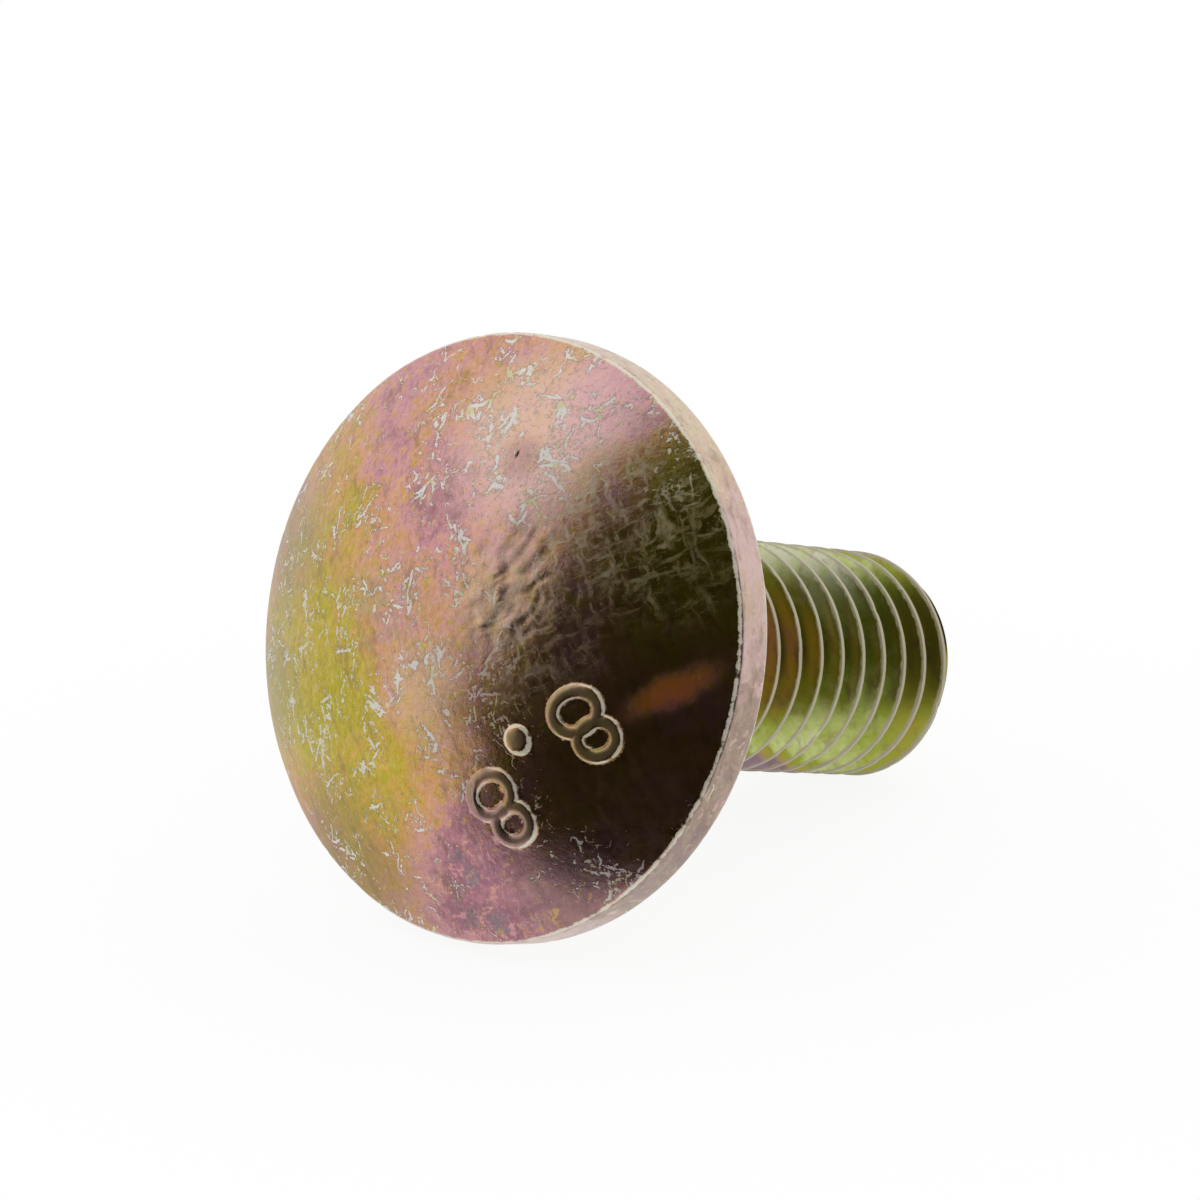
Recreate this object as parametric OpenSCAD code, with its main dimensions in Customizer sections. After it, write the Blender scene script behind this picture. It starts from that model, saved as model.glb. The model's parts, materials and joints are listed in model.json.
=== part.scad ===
// Carriage bolt with a domed round head, a square neck and a full metric thread.
// It lies at rest, on the rim of its head and on the last crest of its thread.

/* [Head] */
// Diameter of the round head
head_d = 19.7; // [15:0.1:30]
// Height of the dome above the straight band of the rim
dome_h = 3; // [1.5:0.1:6]
// Thickness of the straight band of the rim
band_t = 1.45; // [0.8:0.05:3]
// Radius on the band's edge towards the dome
band_round = 0.3; // [0.1:0.05:0.6]
// Radius on the band's edge towards the bearing face
rim_round = 0.2; // [0.05:0.05:0.6]

/* [Neck] */
// Length of the square neck, from the bearing face
neck_l = 5; // [3:0.1:8]
// How much wider the square neck is than the thread
neck_over = 0.1; // [0:0.05:0.6]
// How far each corner of the square is blunted, measured along its diagonal
corner_cut = 0.45; // [0.1:0.05:0.8]
// Reach of the hollow rounding between the neck and the bearing face
neck_fillet = 0.4; // [0.1:0.05:0.8]
// Angle between the bolt's axis and the cone that ends the neck's corners
neck_end_angle = 45; // [30:1:60]

/* [Shank] */
// Length of the bolt from the bearing face to the tip
bolt_l = 20; // [14:0.5:30]
// How far the flat of the tip lies inside the bottom of the thread
tip_inset = 0.03; // [0:0.01:0.3]

/* [Thread] */
// Outside diameter of the thread
thread_d = 8; // [6:0.5:10]
// Pitch of the thread
thread_pitch = 1.25; // [1:0.05:1.75]
// Length behind the neck over which the thread comes up to its full height
thread_runout = 1.6; // [0.8:0.1:3]
// Straight steps in one turn of the thread
thread_steps = 36; // [24:4:48]

/* [Hidden] */
$fn = 96;

// How far one solid runs into another, or a cutting shape past what it cuts
overlap = 0.5;

// The neck's hollow rounding meets both faces at a slight angle. Its centre lies this many
// times its reach away from each face.
fillet_centre = 1.2;

// Radii and heights of a sixty degree metric thread
triangle_h = thread_pitch * sqrt(3) / 2;
crest_r = thread_d / 2;
pitch_r = crest_r - triangle_h * 3 / 8;
flank_r = crest_r - triangle_h * 5 / 8;
root_r = crest_r - triangle_h * 17 / 24;

// The tip: a flat end inside the root, and a 45 degree chamfer up to the crests
tip_r = root_r - tip_inset;
chamfer_l = crest_r - tip_r;
chamfer_z = bolt_l - chamfer_l;

// The square neck
neck_w = thread_d + neck_over;
neck_corner_r = neck_w / sqrt(2) - corner_cut;

// The dome is part of a sphere that meets the front edge of the band
head_r = head_d / 2;
dome_r = (head_r ^ 2 + dome_h ^ 2) / (2 * dome_h);
dome_centre_z = dome_r - dome_h - band_t;
// Centre of the rounding that touches both the dome and the band
band_round_z = dome_centre_z - sqrt((dome_r - band_round) ^ 2 - (head_r - band_round) ^ 2);

// Lying down, the rounded rim and the last full crest touch the same plane
rest_run = chamfer_z + rim_round;
rest_drop = head_r - rim_round - crest_r;
rest_tilt = atan(rest_drop / rest_run) + asin(rim_round / norm([rest_run, rest_drop]));

// One pitch of the thread's outline: share of the pitch along the axis, and radius
thread_outline = [
    [0, crest_r],
    [1 / 8, crest_r],
    [7 / 16, flank_r],
    [9 / 16, root_r],
    [11 / 16, flank_r]
];

// Half of the head's section, without the two rounded edges of its band
module plain_head_section() {
    intersection() {
        translate([0, dome_centre_z]) circle(r = dome_r);
        translate([0, -dome_h - band_t]) square([head_r, dome_h + band_t]);
    }
}

// What the rounding takes off between the dome and the band
module band_corner() {
    dome_lean = atan2(band_round_z - dome_centre_z, head_r - band_round);
    reach = 2 * band_round;
    translate([head_r - band_round, band_round_z]) polygon([
        [0, 0],
        [reach, 0],
        [reach, reach * tan(dome_lean)],
        reach * [cos(dome_lean), sin(dome_lean)]
    ]);
}

// What the rounding takes off between the band and the bearing face
module rim_corner() {
    translate([head_r - rim_round, -rim_round]) square(rim_round + overlap);
}

module head() {
    rotate_extrude() {
        difference() {
            plain_head_section();
            band_corner();
            rim_corner();
        }
        intersection() {
            translate([head_r - band_round, band_round_z]) circle(r = band_round);
            plain_head_section();
        }
        translate([head_r - rim_round, -rim_round]) circle(r = rim_round);
    }
}

// A square with blunted corners that a cone brings down to the round shank
module neck() {
    cone_l = (neck_corner_r - pitch_r) / tan(neck_end_angle);
    intersection() {
        translate([-neck_w / 2, -neck_w / 2, -overlap]) cube([neck_w, neck_w, neck_l + overlap]);
        rotate_extrude() polygon([
            [0, -overlap],
            [neck_corner_r, -overlap],
            [neck_corner_r, neck_l - cone_l],
            [pitch_r, neck_l],
            [0, neck_l]
        ]);
    }
}

// Half of a hollow rounding that stands on the bearing face, beside a wall at this distance
module fillet_section(wall) {
    centre = fillet_centre * neck_fillet;
    difference() {
        translate([0, -overlap]) square([wall + neck_fillet, neck_fillet + overlap]);
        translate([wall + centre, centre]) circle(r = norm([centre, centre - neck_fillet]));
    }
}

// The hollow rounding all round the neck: over its four flats, and within its blunted corners
module neck_foot() {
    intersection() {
        rotate_extrude() fillet_section(neck_corner_r);
        flat_fillet();
        rotate([0, 0, 90]) flat_fillet();
    }
}

// The rounding's section on two opposite flats of the neck, drawn through its whole width
module flat_fillet() {
    reach = neck_corner_r + 2 * neck_fillet;
    rotate([90, 0, 0]) linear_extrude(height = 2 * reach, center = true) {
        fillet_section(neck_w / 2);
        mirror([1, 0]) fillet_section(neck_w / 2);
    }
}

// The plain stretch behind the neck, which the grooves of the thread cut into as it narrows
module runout_core() {
    rotate_extrude() polygon([
        [0, 0],
        [pitch_r, 0],
        [pitch_r, neck_l + thread_runout / 3],
        [tip_r, neck_l + thread_runout],
        [0, neck_l + thread_runout]
    ]);
}

// Everything inside the neck, the run-out's cone, the crests and the tip's chamfer
module thread_limits() {
    rise = crest_r - tip_r;
    rotate_extrude() polygon([
        [0, neck_l / 2],
        [tip_r, neck_l / 2],
        [tip_r, neck_l],
        [crest_r + rise, neck_l + 2 * thread_runout],
        [crest_r + overlap, chamfer_z - overlap],
        [tip_r, bolt_l],
        [0, bolt_l]
    ]);
}

// A right-hand screw surface, one turn longer at both ends than the thread that it is cut to.
// On the side that the bolt lies on, a crest ends where the tip's chamfer starts.
module screw() {
    points_in_outline = len(thread_outline);
    turns_below = ceil((chamfer_z - neck_l / 2) / thread_pitch) + 2;
    turns = turns_below + ceil(chamfer_l / thread_pitch) + 1;
    start_z = chamfer_z - (turns_below + 1 / 8) * thread_pitch;
    rows = turns * thread_steps;
    wall = [
        for (row = [0 : rows + thread_steps], corner = thread_outline)
            let (turn = row / thread_steps)
                [corner[1] * cos(360 * turn), corner[1] * sin(360 * turn),
                    start_z + thread_pitch * (turn + corner[0])]
    ];
    // The outline's last corner is joined to the first corner of the next turn
    function at(row, i) = i < points_in_outline ? row * points_in_outline + i
        : (row + thread_steps) * points_in_outline;
    low_centre = len(wall);
    high_centre = low_centre + 1;
    polyhedron(
        points = concat(wall, [
            [0, 0, start_z + thread_pitch / 2],
            [0, 0, start_z + thread_pitch * (turns + 1 / 2)]
        ]),
        faces = concat(
            [for (row = [0 : rows - 1], i = [0 : points_in_outline - 1], half = [0, 1])
                half == 0 ? [at(row, i), at(row, i + 1), at(row + 1, i)]
                    : [at(row + 1, i), at(row, i + 1), at(row + 1, i + 1)]],
            [for (row = [0 : thread_steps - 1]) [low_centre, at(row, 0), at(row + 1, 0)]],
            [for (i = [0 : points_in_outline - 1]) [low_centre, at(0, i + 1), at(0, i)]],
            [for (row = [rows : rows + thread_steps - 1]) [high_centre, at(row + 1, 0), at(row, 0)]],
            [for (i = [0 : points_in_outline - 1]) [high_centre, at(rows, i), at(rows, i + 1)]]
        )
    );
}

module thread() {
    intersection() {
        screw();
        thread_limits();
    }
}

module carriage_bolt() {
    color([0.72, 0.60, 0.36]) rotate([0, 90 + rest_tilt, 0]) {
        head();
        neck();
        neck_foot();
        runout_core();
        thread();
    }
}

carriage_bolt();
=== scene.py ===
"""A carriage bolt in yellow zinc, which lies on a white sheet as it comes to rest.

The bolt is drawn in millimetres and head up: +Z points out of the dome, the bearing face under the
head is at Z = 0, the shank runs down to the tip, and -Y is the side that the bolt lies on. It is
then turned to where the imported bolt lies. The finishes read the same drawing coordinates.
"""
import json
import logging
import math
from collections.abc import Callable
from dataclasses import dataclass, field
from enum import Enum

import bmesh
import bpy
from mathutils import Matrix, Vector, noise


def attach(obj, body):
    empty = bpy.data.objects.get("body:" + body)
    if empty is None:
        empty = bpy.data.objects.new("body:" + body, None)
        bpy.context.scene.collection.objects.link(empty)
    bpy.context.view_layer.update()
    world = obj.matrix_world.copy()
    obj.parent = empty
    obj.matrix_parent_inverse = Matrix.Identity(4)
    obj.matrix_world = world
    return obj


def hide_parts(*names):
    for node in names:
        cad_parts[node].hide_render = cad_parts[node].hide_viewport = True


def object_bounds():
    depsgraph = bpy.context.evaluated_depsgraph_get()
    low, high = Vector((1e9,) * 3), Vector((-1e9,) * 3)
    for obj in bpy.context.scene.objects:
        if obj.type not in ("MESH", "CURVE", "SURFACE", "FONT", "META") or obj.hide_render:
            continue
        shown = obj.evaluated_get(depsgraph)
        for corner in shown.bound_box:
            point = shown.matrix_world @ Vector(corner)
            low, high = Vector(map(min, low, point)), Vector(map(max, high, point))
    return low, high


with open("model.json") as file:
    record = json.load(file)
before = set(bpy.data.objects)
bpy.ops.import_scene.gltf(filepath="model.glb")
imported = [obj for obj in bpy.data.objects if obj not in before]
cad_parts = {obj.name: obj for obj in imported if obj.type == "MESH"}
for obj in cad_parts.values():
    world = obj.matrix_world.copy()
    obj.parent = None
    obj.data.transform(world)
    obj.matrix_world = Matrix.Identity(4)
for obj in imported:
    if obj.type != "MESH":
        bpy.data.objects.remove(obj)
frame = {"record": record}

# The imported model's box, before anything is added to the scene
CAD_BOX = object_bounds()
# One millimetre, in metres
MM = 0.001
# Points of the drawing that are closer than this, in millimetres, are one point
WELD = 1e-3
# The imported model's only node
NODE = "carriage_bolt"

log = logging.getLogger("carriage_bolt")

Colour = tuple[float, float, float, float]


def srgb(red: int, green: int, blue: int) -> Colour:
    """A colour that is written as it looks on a screen.

    Args:
        red: Its red, from 0 to 255.
        green: Its green, from 0 to 255.
        blue: Its blue, from 0 to 255.

    Returns:
        The same colour as the shaders read it.
    """
    linear = []
    for channel in (red, green, blue):
        share = channel / 255
        linear.append(share / 12.92 if share <= 0.04045 else ((share + 0.055) / 1.055) ** 2.4)
    return (linear[0], linear[1], linear[2], 1.0)


def smooth_step(low: float, high: float, value: float) -> float:
    """Rises smoothly from 0 at low to 1 at high, or falls if high is the smaller of the two."""
    share = min(1.0, max(0.0, (value - low) / (high - low)))
    return share * share * (3 - 2 * share)


def ripple(x: float, y: float, per_mm: float, layer: float) -> float:
    """Smooth noise over X and Y, from about -1 to 1. Each layer has a pattern of its own."""
    return noise.noise(Vector((x * per_mm, y * per_mm, layer)))


def resting_place() -> tuple[Matrix, Matrix]:
    """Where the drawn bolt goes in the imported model.

    Returns:
        The turn by itself, and the whole move from millimetres, head up, to metres, lying down.
    """
    mount = next(m for m in frame["record"]["mounts"] if m["name"] == "bearing_face")
    outward = -Vector(mount["axis"])
    across = Vector((0, -1, 0))
    upward = outward.cross(across)
    turn = Matrix((across, upward, outward)).transposed()
    return turn, Matrix.Translation(mount["pos_m"]) @ turn.to_4x4() @ Matrix.Scale(MM, 4)


TURN, PLACE = resting_place()


class Socket:
    """The output of a shader node. Python's operators on it add Math nodes."""

    def __init__(self, graph: "Graph", output: bpy.types.NodeSocket) -> None:
        """Keeps the output and the graph that it belongs to."""
        self.graph = graph
        self.output = output

    def _math(self, operation: str, first: "Value", second: "Value") -> "Socket":
        """A Math node with two inputs."""
        return self.graph.node("ShaderNodeMath", {"operation": operation}, {0: first, 1: second})[0]

    def __add__(self, other: "Value") -> "Socket":
        """The sum."""
        return self._math("ADD", self, other)

    def __radd__(self, other: "Value") -> "Socket":
        """The sum, with a number first."""
        return self._math("ADD", other, self)

    def __sub__(self, other: "Value") -> "Socket":
        """The difference."""
        return self._math("SUBTRACT", self, other)

    def __rsub__(self, other: "Value") -> "Socket":
        """The difference, with a number first."""
        return self._math("SUBTRACT", other, self)

    def __mul__(self, other: "Value") -> "Socket":
        """The product."""
        return self._math("MULTIPLY", self, other)

    def __rmul__(self, other: "Value") -> "Socket":
        """The product, with a number first."""
        return self._math("MULTIPLY", other, self)

    def __truediv__(self, other: "Value") -> "Socket":
        """The quotient."""
        return self._math("DIVIDE", self, other)

    def __rtruediv__(self, other: "Value") -> "Socket":
        """The quotient, with a number first."""
        return self._math("DIVIDE", other, self)

    def most(self, other: "Value") -> "Socket":
        """The larger of the two."""
        return self._math("MAXIMUM", self, other)

    def least(self, other: "Value") -> "Socket":
        """The smaller of the two."""
        return self._math("MINIMUM", self, other)

    def root(self) -> "Socket":
        """The square root."""
        return self._math("SQRT", self, 0.0)


Value = Socket | float


@dataclass(frozen=True)
class Pattern:
    """A kind of smooth noise.

    Attributes:
        scale: How close its features are.
        detail: How many times finer features are laid over them.
        rough: How strong the finer features are.
    """

    scale: float
    detail: float = 2.0
    rough: float = 0.5


CLOUDS = Pattern(0.4, 3.0, 0.55)
SMEARS = Pattern(1.0, 5.0, 0.6)
SPOTS = Pattern(3.1, 3.0, 0.6)
MOTTLING = Pattern(7.5, 5.0, 0.75)
FLECKS = Pattern(2.6, 4.0, 0.65)
FLECK_GROUPS = Pattern(0.6)
STREAK_GRIT = Pattern(6.5, 4.0, 0.7)
BARE_SPECKS = Pattern(5.2, 5.0, 0.72)
BARE_CLUSTERS = Pattern(0.55, 3.0, 0.6)
BARE_VEINS = Pattern(0.5)
SCRATCH_GAPS = Pattern(2.2, 3.0, 0.6)
SCRATCH_EDGES = Pattern(12.0, 3.0, 0.7)
SCRATCH_TINTS = Pattern(1.6)
WEAR_AND_HIGHLIGHT_EDGES = Pattern(3.2, 4.0, 0.7)
POLISH = Pattern(2.3, 4.0, 0.65)
GRAIN = Pattern(5.0, 6.0, 0.65)


class Outputs:
    """The outputs of one new node, by name or by number."""

    def __init__(self, graph: "Graph", node: bpy.types.Node) -> None:
        """Keeps the node and its graph."""
        self.graph = graph
        self.node = node

    def __getitem__(self, key: str | int) -> Socket:
        """One output, wrapped."""
        return Socket(self.graph, self.node.outputs[key])


class Graph:
    """The node tree of a material or of the world, emptied first."""

    def __init__(self, owner: bpy.types.Material | bpy.types.World) -> None:
        """Turns nodes on for the owner and clears them.

        Args:
            owner: The material or the world that the nodes are for.
        """
        owner.use_nodes = True
        self.tree = owner.node_tree
        self.tree.nodes.clear()

    def node(self, kind: str, settings: dict | None = None, inputs: dict | None = None) -> Outputs:
        """Adds any node.

        Args:
            kind: The node's type.
            settings: What is set on the node itself, or "stops" for a ramp's positions and colours.
            inputs: A value or a link for each named or numbered socket.

        Returns:
            The node's outputs.
        """
        made = self.tree.nodes.new(kind)
        for name, value in (settings or {}).items():
            if name == "stops":
                self._set_stops(made.color_ramp, value)
            else:
                setattr(made, name, value)
        for key, value in (inputs or {}).items():
            if isinstance(value, Socket):
                self.tree.links.new(value.output, made.inputs[key])
            else:
                made.inputs[key].default_value = value
        return Outputs(self, made)

    @staticmethod
    def _set_stops(ramp: bpy.types.ColorRamp, stops: list[tuple[float, Colour]]) -> None:
        """Gives a ramp its stops, from its low end up.

        Args:
            ramp: The ramp of a new node.
            stops: The position and the colour of each stop.
        """
        while len(ramp.elements) < len(stops):
            ramp.elements.new(1.0)
        for element, (position, colour) in zip(ramp.elements, stops):
            element.position = position
            element.color = colour

    def step(self, value: Value, low: float, high: float) -> Socket:
        """Rises smoothly from 0 to 1, or falls where high is the smaller of the two ends.

        Args:
            value: What is measured.
            low: Where the step is 0.
            high: Where the step is 1.

        Returns:
            The share, from 0 to 1.
        """
        flip = high < low
        ends = {"From Min": min(low, high), "From Max": max(low, high)}
        reach = {"To Min": 1.0 if flip else 0.0, "To Max": 0.0 if flip else 1.0}
        settings = {"interpolation_type": "SMOOTHSTEP"}
        return self.node("ShaderNodeMapRange", settings, {"Value": value, **ends, **reach})["Result"]

    def mix(self, factor: Value, first: Socket | Colour, second: Socket | Colour) -> Socket:
        """One colour turning into another."""
        settings = {"data_type": "RGBA"}
        return self.node("ShaderNodeMix", settings, {0: factor, 6: first, 7: second})[2]

    def vector(self, operation: str, first: Socket | tuple, second: Socket | tuple) -> Outputs:
        """A Vector Math node with two inputs."""
        return self.node("ShaderNodeVectorMath", {"operation": operation}, {0: first, 1: second})

    def noise(self, where: Socket, pattern: Pattern) -> Outputs:
        """Smooth noise: its Fac, from 0 to 1, and its Color.

        Args:
            where: The coordinates.
            pattern: The kind of noise.

        Returns:
            The outputs of the noise.
        """
        inputs = {"Vector": where, "Scale": pattern.scale}
        inputs["Detail"] = pattern.detail
        inputs["Roughness"] = pattern.rough
        return self.node("ShaderNodeTexNoise", None, inputs)

    def warp(self, where: Socket, scale: float, reach: float) -> Socket:
        """Pushes coordinates about by noise.

        Args:
            where: The coordinates.
            scale: The scale of the noise.
            reach: How far the push reaches in all, half of it each way.

        Returns:
            The pushed coordinates.
        """
        colour = self.noise(where, Pattern(scale))["Color"]
        push = self.vector("SUBTRACT", colour, (0.5, 0.5, 0.5))["Vector"]
        settings = {"operation": "MULTIPLY_ADD"}
        inputs = {0: push, 1: (reach, reach, reach), 2: where}
        return self.node("ShaderNodeVectorMath", settings, inputs)["Vector"]

    def stretched(self, where: Socket, scale: tuple[float, float, float]) -> Socket:
        """Coordinates with each of the three directions scaled by itself."""
        return self.vector("MULTIPLY", where, scale)["Vector"]


class Film(Enum):
    """The tints of the zinc's passive film."""

    OLIVE_YELLOW = srgb(176, 162, 40)
    YELLOW = srgb(186, 166, 58)
    GOLD = srgb(192, 156, 82)
    ORANGE = srgb(204, 154, 104)
    SALMON = srgb(206, 152, 134)
    PINK = srgb(200, 144, 150)
    MAUVE = srgb(158, 108, 122)
    GREY_VIOLET = srgb(140, 116, 126)
    BROWN = srgb(160, 132, 106)
    OLIVE = srgb(160, 150, 56)
    MOSS = srgb(148, 158, 54)
    LEAF = srgb(188, 198, 126)
    PALE_LEAF = srgb(204, 204, 174)
    CREAM = srgb(216, 196, 168)
    PALE_SALMON = srgb(204, 176, 156)
    PALE_PINK = srgb(212, 184, 178)
    DUSTY_PINK = srgb(188, 160, 152)
    BEIGE = srgb(164, 144, 126)


class Wrap(Enum):
    """How a finish is laid on the bolt."""

    SQUARE_ON = "seen along the bolt's axis"
    ROLLED = "rolled round the bolt's axis"


@dataclass(frozen=True)
class Patch:
    """A round field with more or less of something, in a finish's flat coordinates.

    Attributes:
        x: The place of its middle, in millimetres.
        y: The place of its middle, in millimetres.
        reach: How far it reaches, in millimetres.
        change: How much it adds in its middle.
    """

    x: float
    y: float
    reach: float
    change: float


@dataclass(frozen=True)
class Stain:
    """An oval field with a tint of its own on top of the film.

    Attributes:
        x: The place of its middle, in millimetres.
        y: The place of its middle, in millimetres.
        reach: How far it reaches across its direction, in millimetres.
        share: How far it covers the film, from 0 to 1.
        tint: Its colour.
        dull: How much duller than the film it is.
        streaked: Whether it shows only in streaks.
        degrees: The direction that it is drawn out in.
        stretch: How much longer than wide it is.
    """

    x: float
    y: float
    reach: float
    share: float
    tint: Colour
    dull: float = 1.0
    streaked: bool = True
    degrees: float = 0.0
    stretch: float = 1.0


@dataclass(frozen=True)
class ScratchRun:
    """Short bent scratches, at most one in each cell of a random net.

    Attributes:
        cell: The size of a cell, in millimetres.
        length: The length of a scratch of middling size, in millimetres.
        width: Its width, in millimetres.
        share: The share of the cells that have a scratch.
        degrees: The direction of the scratches.
        spread: How far their directions are spread in all, in degrees.
        least_size: The size of the smallest scratch, against the middling one.
        size_range: How much larger than the smallest the largest is, in the same way.
        bend: How far a scratch can bend.
    """

    cell: float
    length: float
    width: float
    share: float
    degrees: float = 90.0
    spread: float = 180.0
    least_size: float = 0.35
    size_range: float = 1.1
    bend: float = 1.6


@dataclass(frozen=True)
class YellowZinc:
    """Zinc plating with a yellow, iridescent film, scratched and worn down to the bare zinc, with some
    painted highlight and painted shade in its colour.

    Attributes:
        name: The name of the material.
        wrap: How the finish is laid on.
        stops: The tints of the film, from thin to thick.
        film: How thick the film is on the whole, as a place on those stops.
        swing: How far its thickness wanders.
        patches: Where it is thicker, or thinner where the change is below zero; on the shank some paint a
            highlight on top and shade underneath.
        spared: Where there are fewer scratches, or more where the change is below zero.
        faint: Where the scratches are fainter.
        stains: The fields with a tint of their own.
        runs: The runs of scratches.
        radius: The radius at which a rolled finish keeps its size, in millimetres.
        specks: How rare bare specks are.
        veins: How wide bare veins are.
        roughness: How rough the film is on the whole.
        grain: How deep the grain is, in millimetres.
        wear_and_highlight_noise: How ragged the worn lines and the painted highlight lines are.
        mottling: How strong the fine mottling is.
        flecking: How strong the golden flecks are.
        spotting: How strong the spots of thinner film are.
        dullness: How dull the whole finish is.
        smudge_sizes: The sizes of a smudge in the three directions, in millimetres.
        smear_sizes: The sizes of a smear of thicker film, in the same way.
        streak_sizes: The sizes of a streak in a stain, in the same way.
        streak_degrees: The two directions that smears and streaks run in.
        silver: The zinc in a clean scratch.
        pale_film: The zinc in a scratch that keeps some of its film.
        scratch_shade: The painted shade beside a scratch.
        smudge: The colour of the smudges.
        pale_mottle: The paler colour of the fine mottling.
        dark_mottle: The darker colour of the fine mottling.
        fleck: The colour of the flecks.
        wear_and_highlight_silver: The zinc on worn edges and crests, and the colour of the painted highlight
            lines.
        rubbed_zinc: The dull zinc on the tops of the raised number.
    """

    name: str
    wrap: Wrap
    stops: tuple[tuple[float, Film], ...]
    film: float
    swing: float
    patches: tuple[Patch, ...] = ()
    spared: tuple[Patch, ...] = ()
    faint: tuple[Patch, ...] = ()
    stains: tuple[Stain, ...] = ()
    runs: tuple[ScratchRun, ...] = ()
    radius: float = 1.0
    specks: float = 0.6
    veins: float = 0.005
    roughness: float = 0.22
    grain: float = 0.008
    wear_and_highlight_noise: float = 1.5
    mottling: float = 0.5
    flecking: float = 0.0
    spotting: float = 0.32
    dullness: float = 0.0
    smudge_sizes: tuple[float, float, float] = (1.7, 0.45, 0.45)
    smear_sizes: tuple[float, float, float] = (1.9, 0.5, 0.5)
    streak_sizes: tuple[float, float, float] = (1.1, 0.26, 1.0)
    streak_degrees: tuple[float, float] = (-58.0, 38.0)
    silver: Colour = srgb(226, 223, 217)
    pale_film: Colour = srgb(212, 206, 164)
    scratch_shade: Colour = srgb(92, 78, 48)
    smudge: Colour = srgb(126, 98, 84)
    pale_mottle: Colour = srgb(216, 204, 180)
    dark_mottle: Colour = srgb(100, 80, 58)
    fleck: Colour = srgb(216, 180, 92)
    wear_and_highlight_silver: Colour = srgb(222, 219, 206)
    rubbed_zinc: Colour = srgb(130, 128, 102)

    def coordinates(self, graph: Graph) -> Socket:
        """Turns the object's own coordinates back to the drawing's.

        Args:
            graph: The material's graph.

        Returns:
            The drawing's coordinates, in millimetres.
        """
        lying = graph.node("ShaderNodeTexCoord")["Object"]
        turn_back = TURN.inverted().to_euler()
        inputs = {"Vector": lying, "Rotation": turn_back, "Scale": (1 / MM, 1 / MM, 1 / MM)}
        return graph.node("ShaderNodeMapping", {"vector_type": "POINT"}, inputs)["Vector"]

    def laid_out(self, graph: Graph, where: Socket) -> Socket:
        """Lays flat coordinates over the surface.

        Args:
            graph: The material's graph.
            where: The drawing's coordinates.

        Returns:
            Two coordinates in millimetres, and zero for the third.
        """
        parts = graph.node("ShaderNodeSeparateXYZ", None, {0: where})
        if self.wrap is Wrap.SQUARE_ON:
            return graph.node("ShaderNodeCombineXYZ", None, {0: parts[0], 1: parts[1]})[0]
        settings = {"operation": "ARCTAN2"}
        angle = graph.node("ShaderNodeMath", settings, {0: parts[1], 1: parts[0]})[0]
        return graph.node("ShaderNodeCombineXYZ", None, {0: angle * self.radius, 1: parts[2]})[0]

    def field_share(self, graph: Graph, where: Socket, x: float, y: float, reach: float) -> Socket:
        """How much of a round field there is at a place: 1 in its middle, 0 at its reach."""
        away = graph.vector("DISTANCE", where, (x, y, 0.0))["Value"]
        return graph.step(away, reach, 0.25 * reach)

    def stain_share(self, graph: Graph, flat: Socket, stain: Stain) -> Socket:
        """How much of a stain shows at a place, before its streaks.

        Args:
            graph: The material's graph.
            flat: The flat coordinates.
            stain: The stain.

        Returns:
            The share of the film that it covers.
        """
        uneven = graph.warp(flat, 1.1, 1.6 if stain.streaked else 0.5)
        inputs = {
            "Vector": uneven,
            "Location": (stain.x, stain.y, 0.0),
            "Rotation": (0.0, 0.0, math.radians(stain.degrees)),
            "Scale": (stain.stretch, 1.0, 1.0),
        }
        own = graph.node("ShaderNodeMapping", {"vector_type": "TEXTURE"}, inputs)["Vector"]
        return self.field_share(graph, own, 0.0, 0.0, stain.reach) * stain.share

    def drawn_out(
        self, graph: Graph, where: Socket, degrees: float, sizes: tuple[float, float, float]
    ) -> Socket:
        """Noise that is drawn out in one direction.

        Args:
            graph: The material's graph.
            where: The coordinates.
            degrees: The direction, turned about the third coordinate.
            sizes: The sizes of a feature in the three directions, in millimetres.

        Returns:
            The noise, from 0 to 1.
        """
        inputs = {"Vector": graph.warp(where, 1.2, 0.7), "Scale": sizes}
        inputs["Rotation"] = (0.0, 0.0, math.radians(degrees))
        long = graph.node("ShaderNodeMapping", {"vector_type": "TEXTURE"}, inputs)["Vector"]
        return graph.noise(long, SMEARS)["Fac"]

    def film_thickness(self, graph: Graph, where: Socket, flat: Socket) -> Socket:
        """How thick the film is at a place.

        Args:
            graph: The material's graph.
            where: The drawing's coordinates.
            flat: The flat coordinates.

        Returns:
            A place on the ramp of the film's tints.
        """
        # Wide clouds, then smears in two directions
        loose = graph.warp(where, 0.35, 3.2)
        thickness = self.film + (graph.noise(loose, CLOUDS)["Fac"] - 0.5) * (0.8 * self.swing)
        for degrees in self.streak_degrees:
            smear = self.drawn_out(graph, where, degrees, self.smear_sizes) - 0.5
            thickness = thickness + smear * (0.55 * self.swing)
        # Small spots, and the patches with their wandering edges
        spot = graph.step(graph.noise(graph.warp(where, 2.6, 0.4), SPOTS)["Fac"], 0.56, 0.66)
        thickness = thickness - spot * (self.spotting * self.swing)
        drifting = graph.warp(graph.warp(flat, 0.45, 2.0), 1.9, 0.6)
        for patch in self.patches:
            share = self.field_share(graph, drifting, patch.x, patch.y, patch.reach)
            thickness = thickness + share * patch.change
        return thickness

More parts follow.
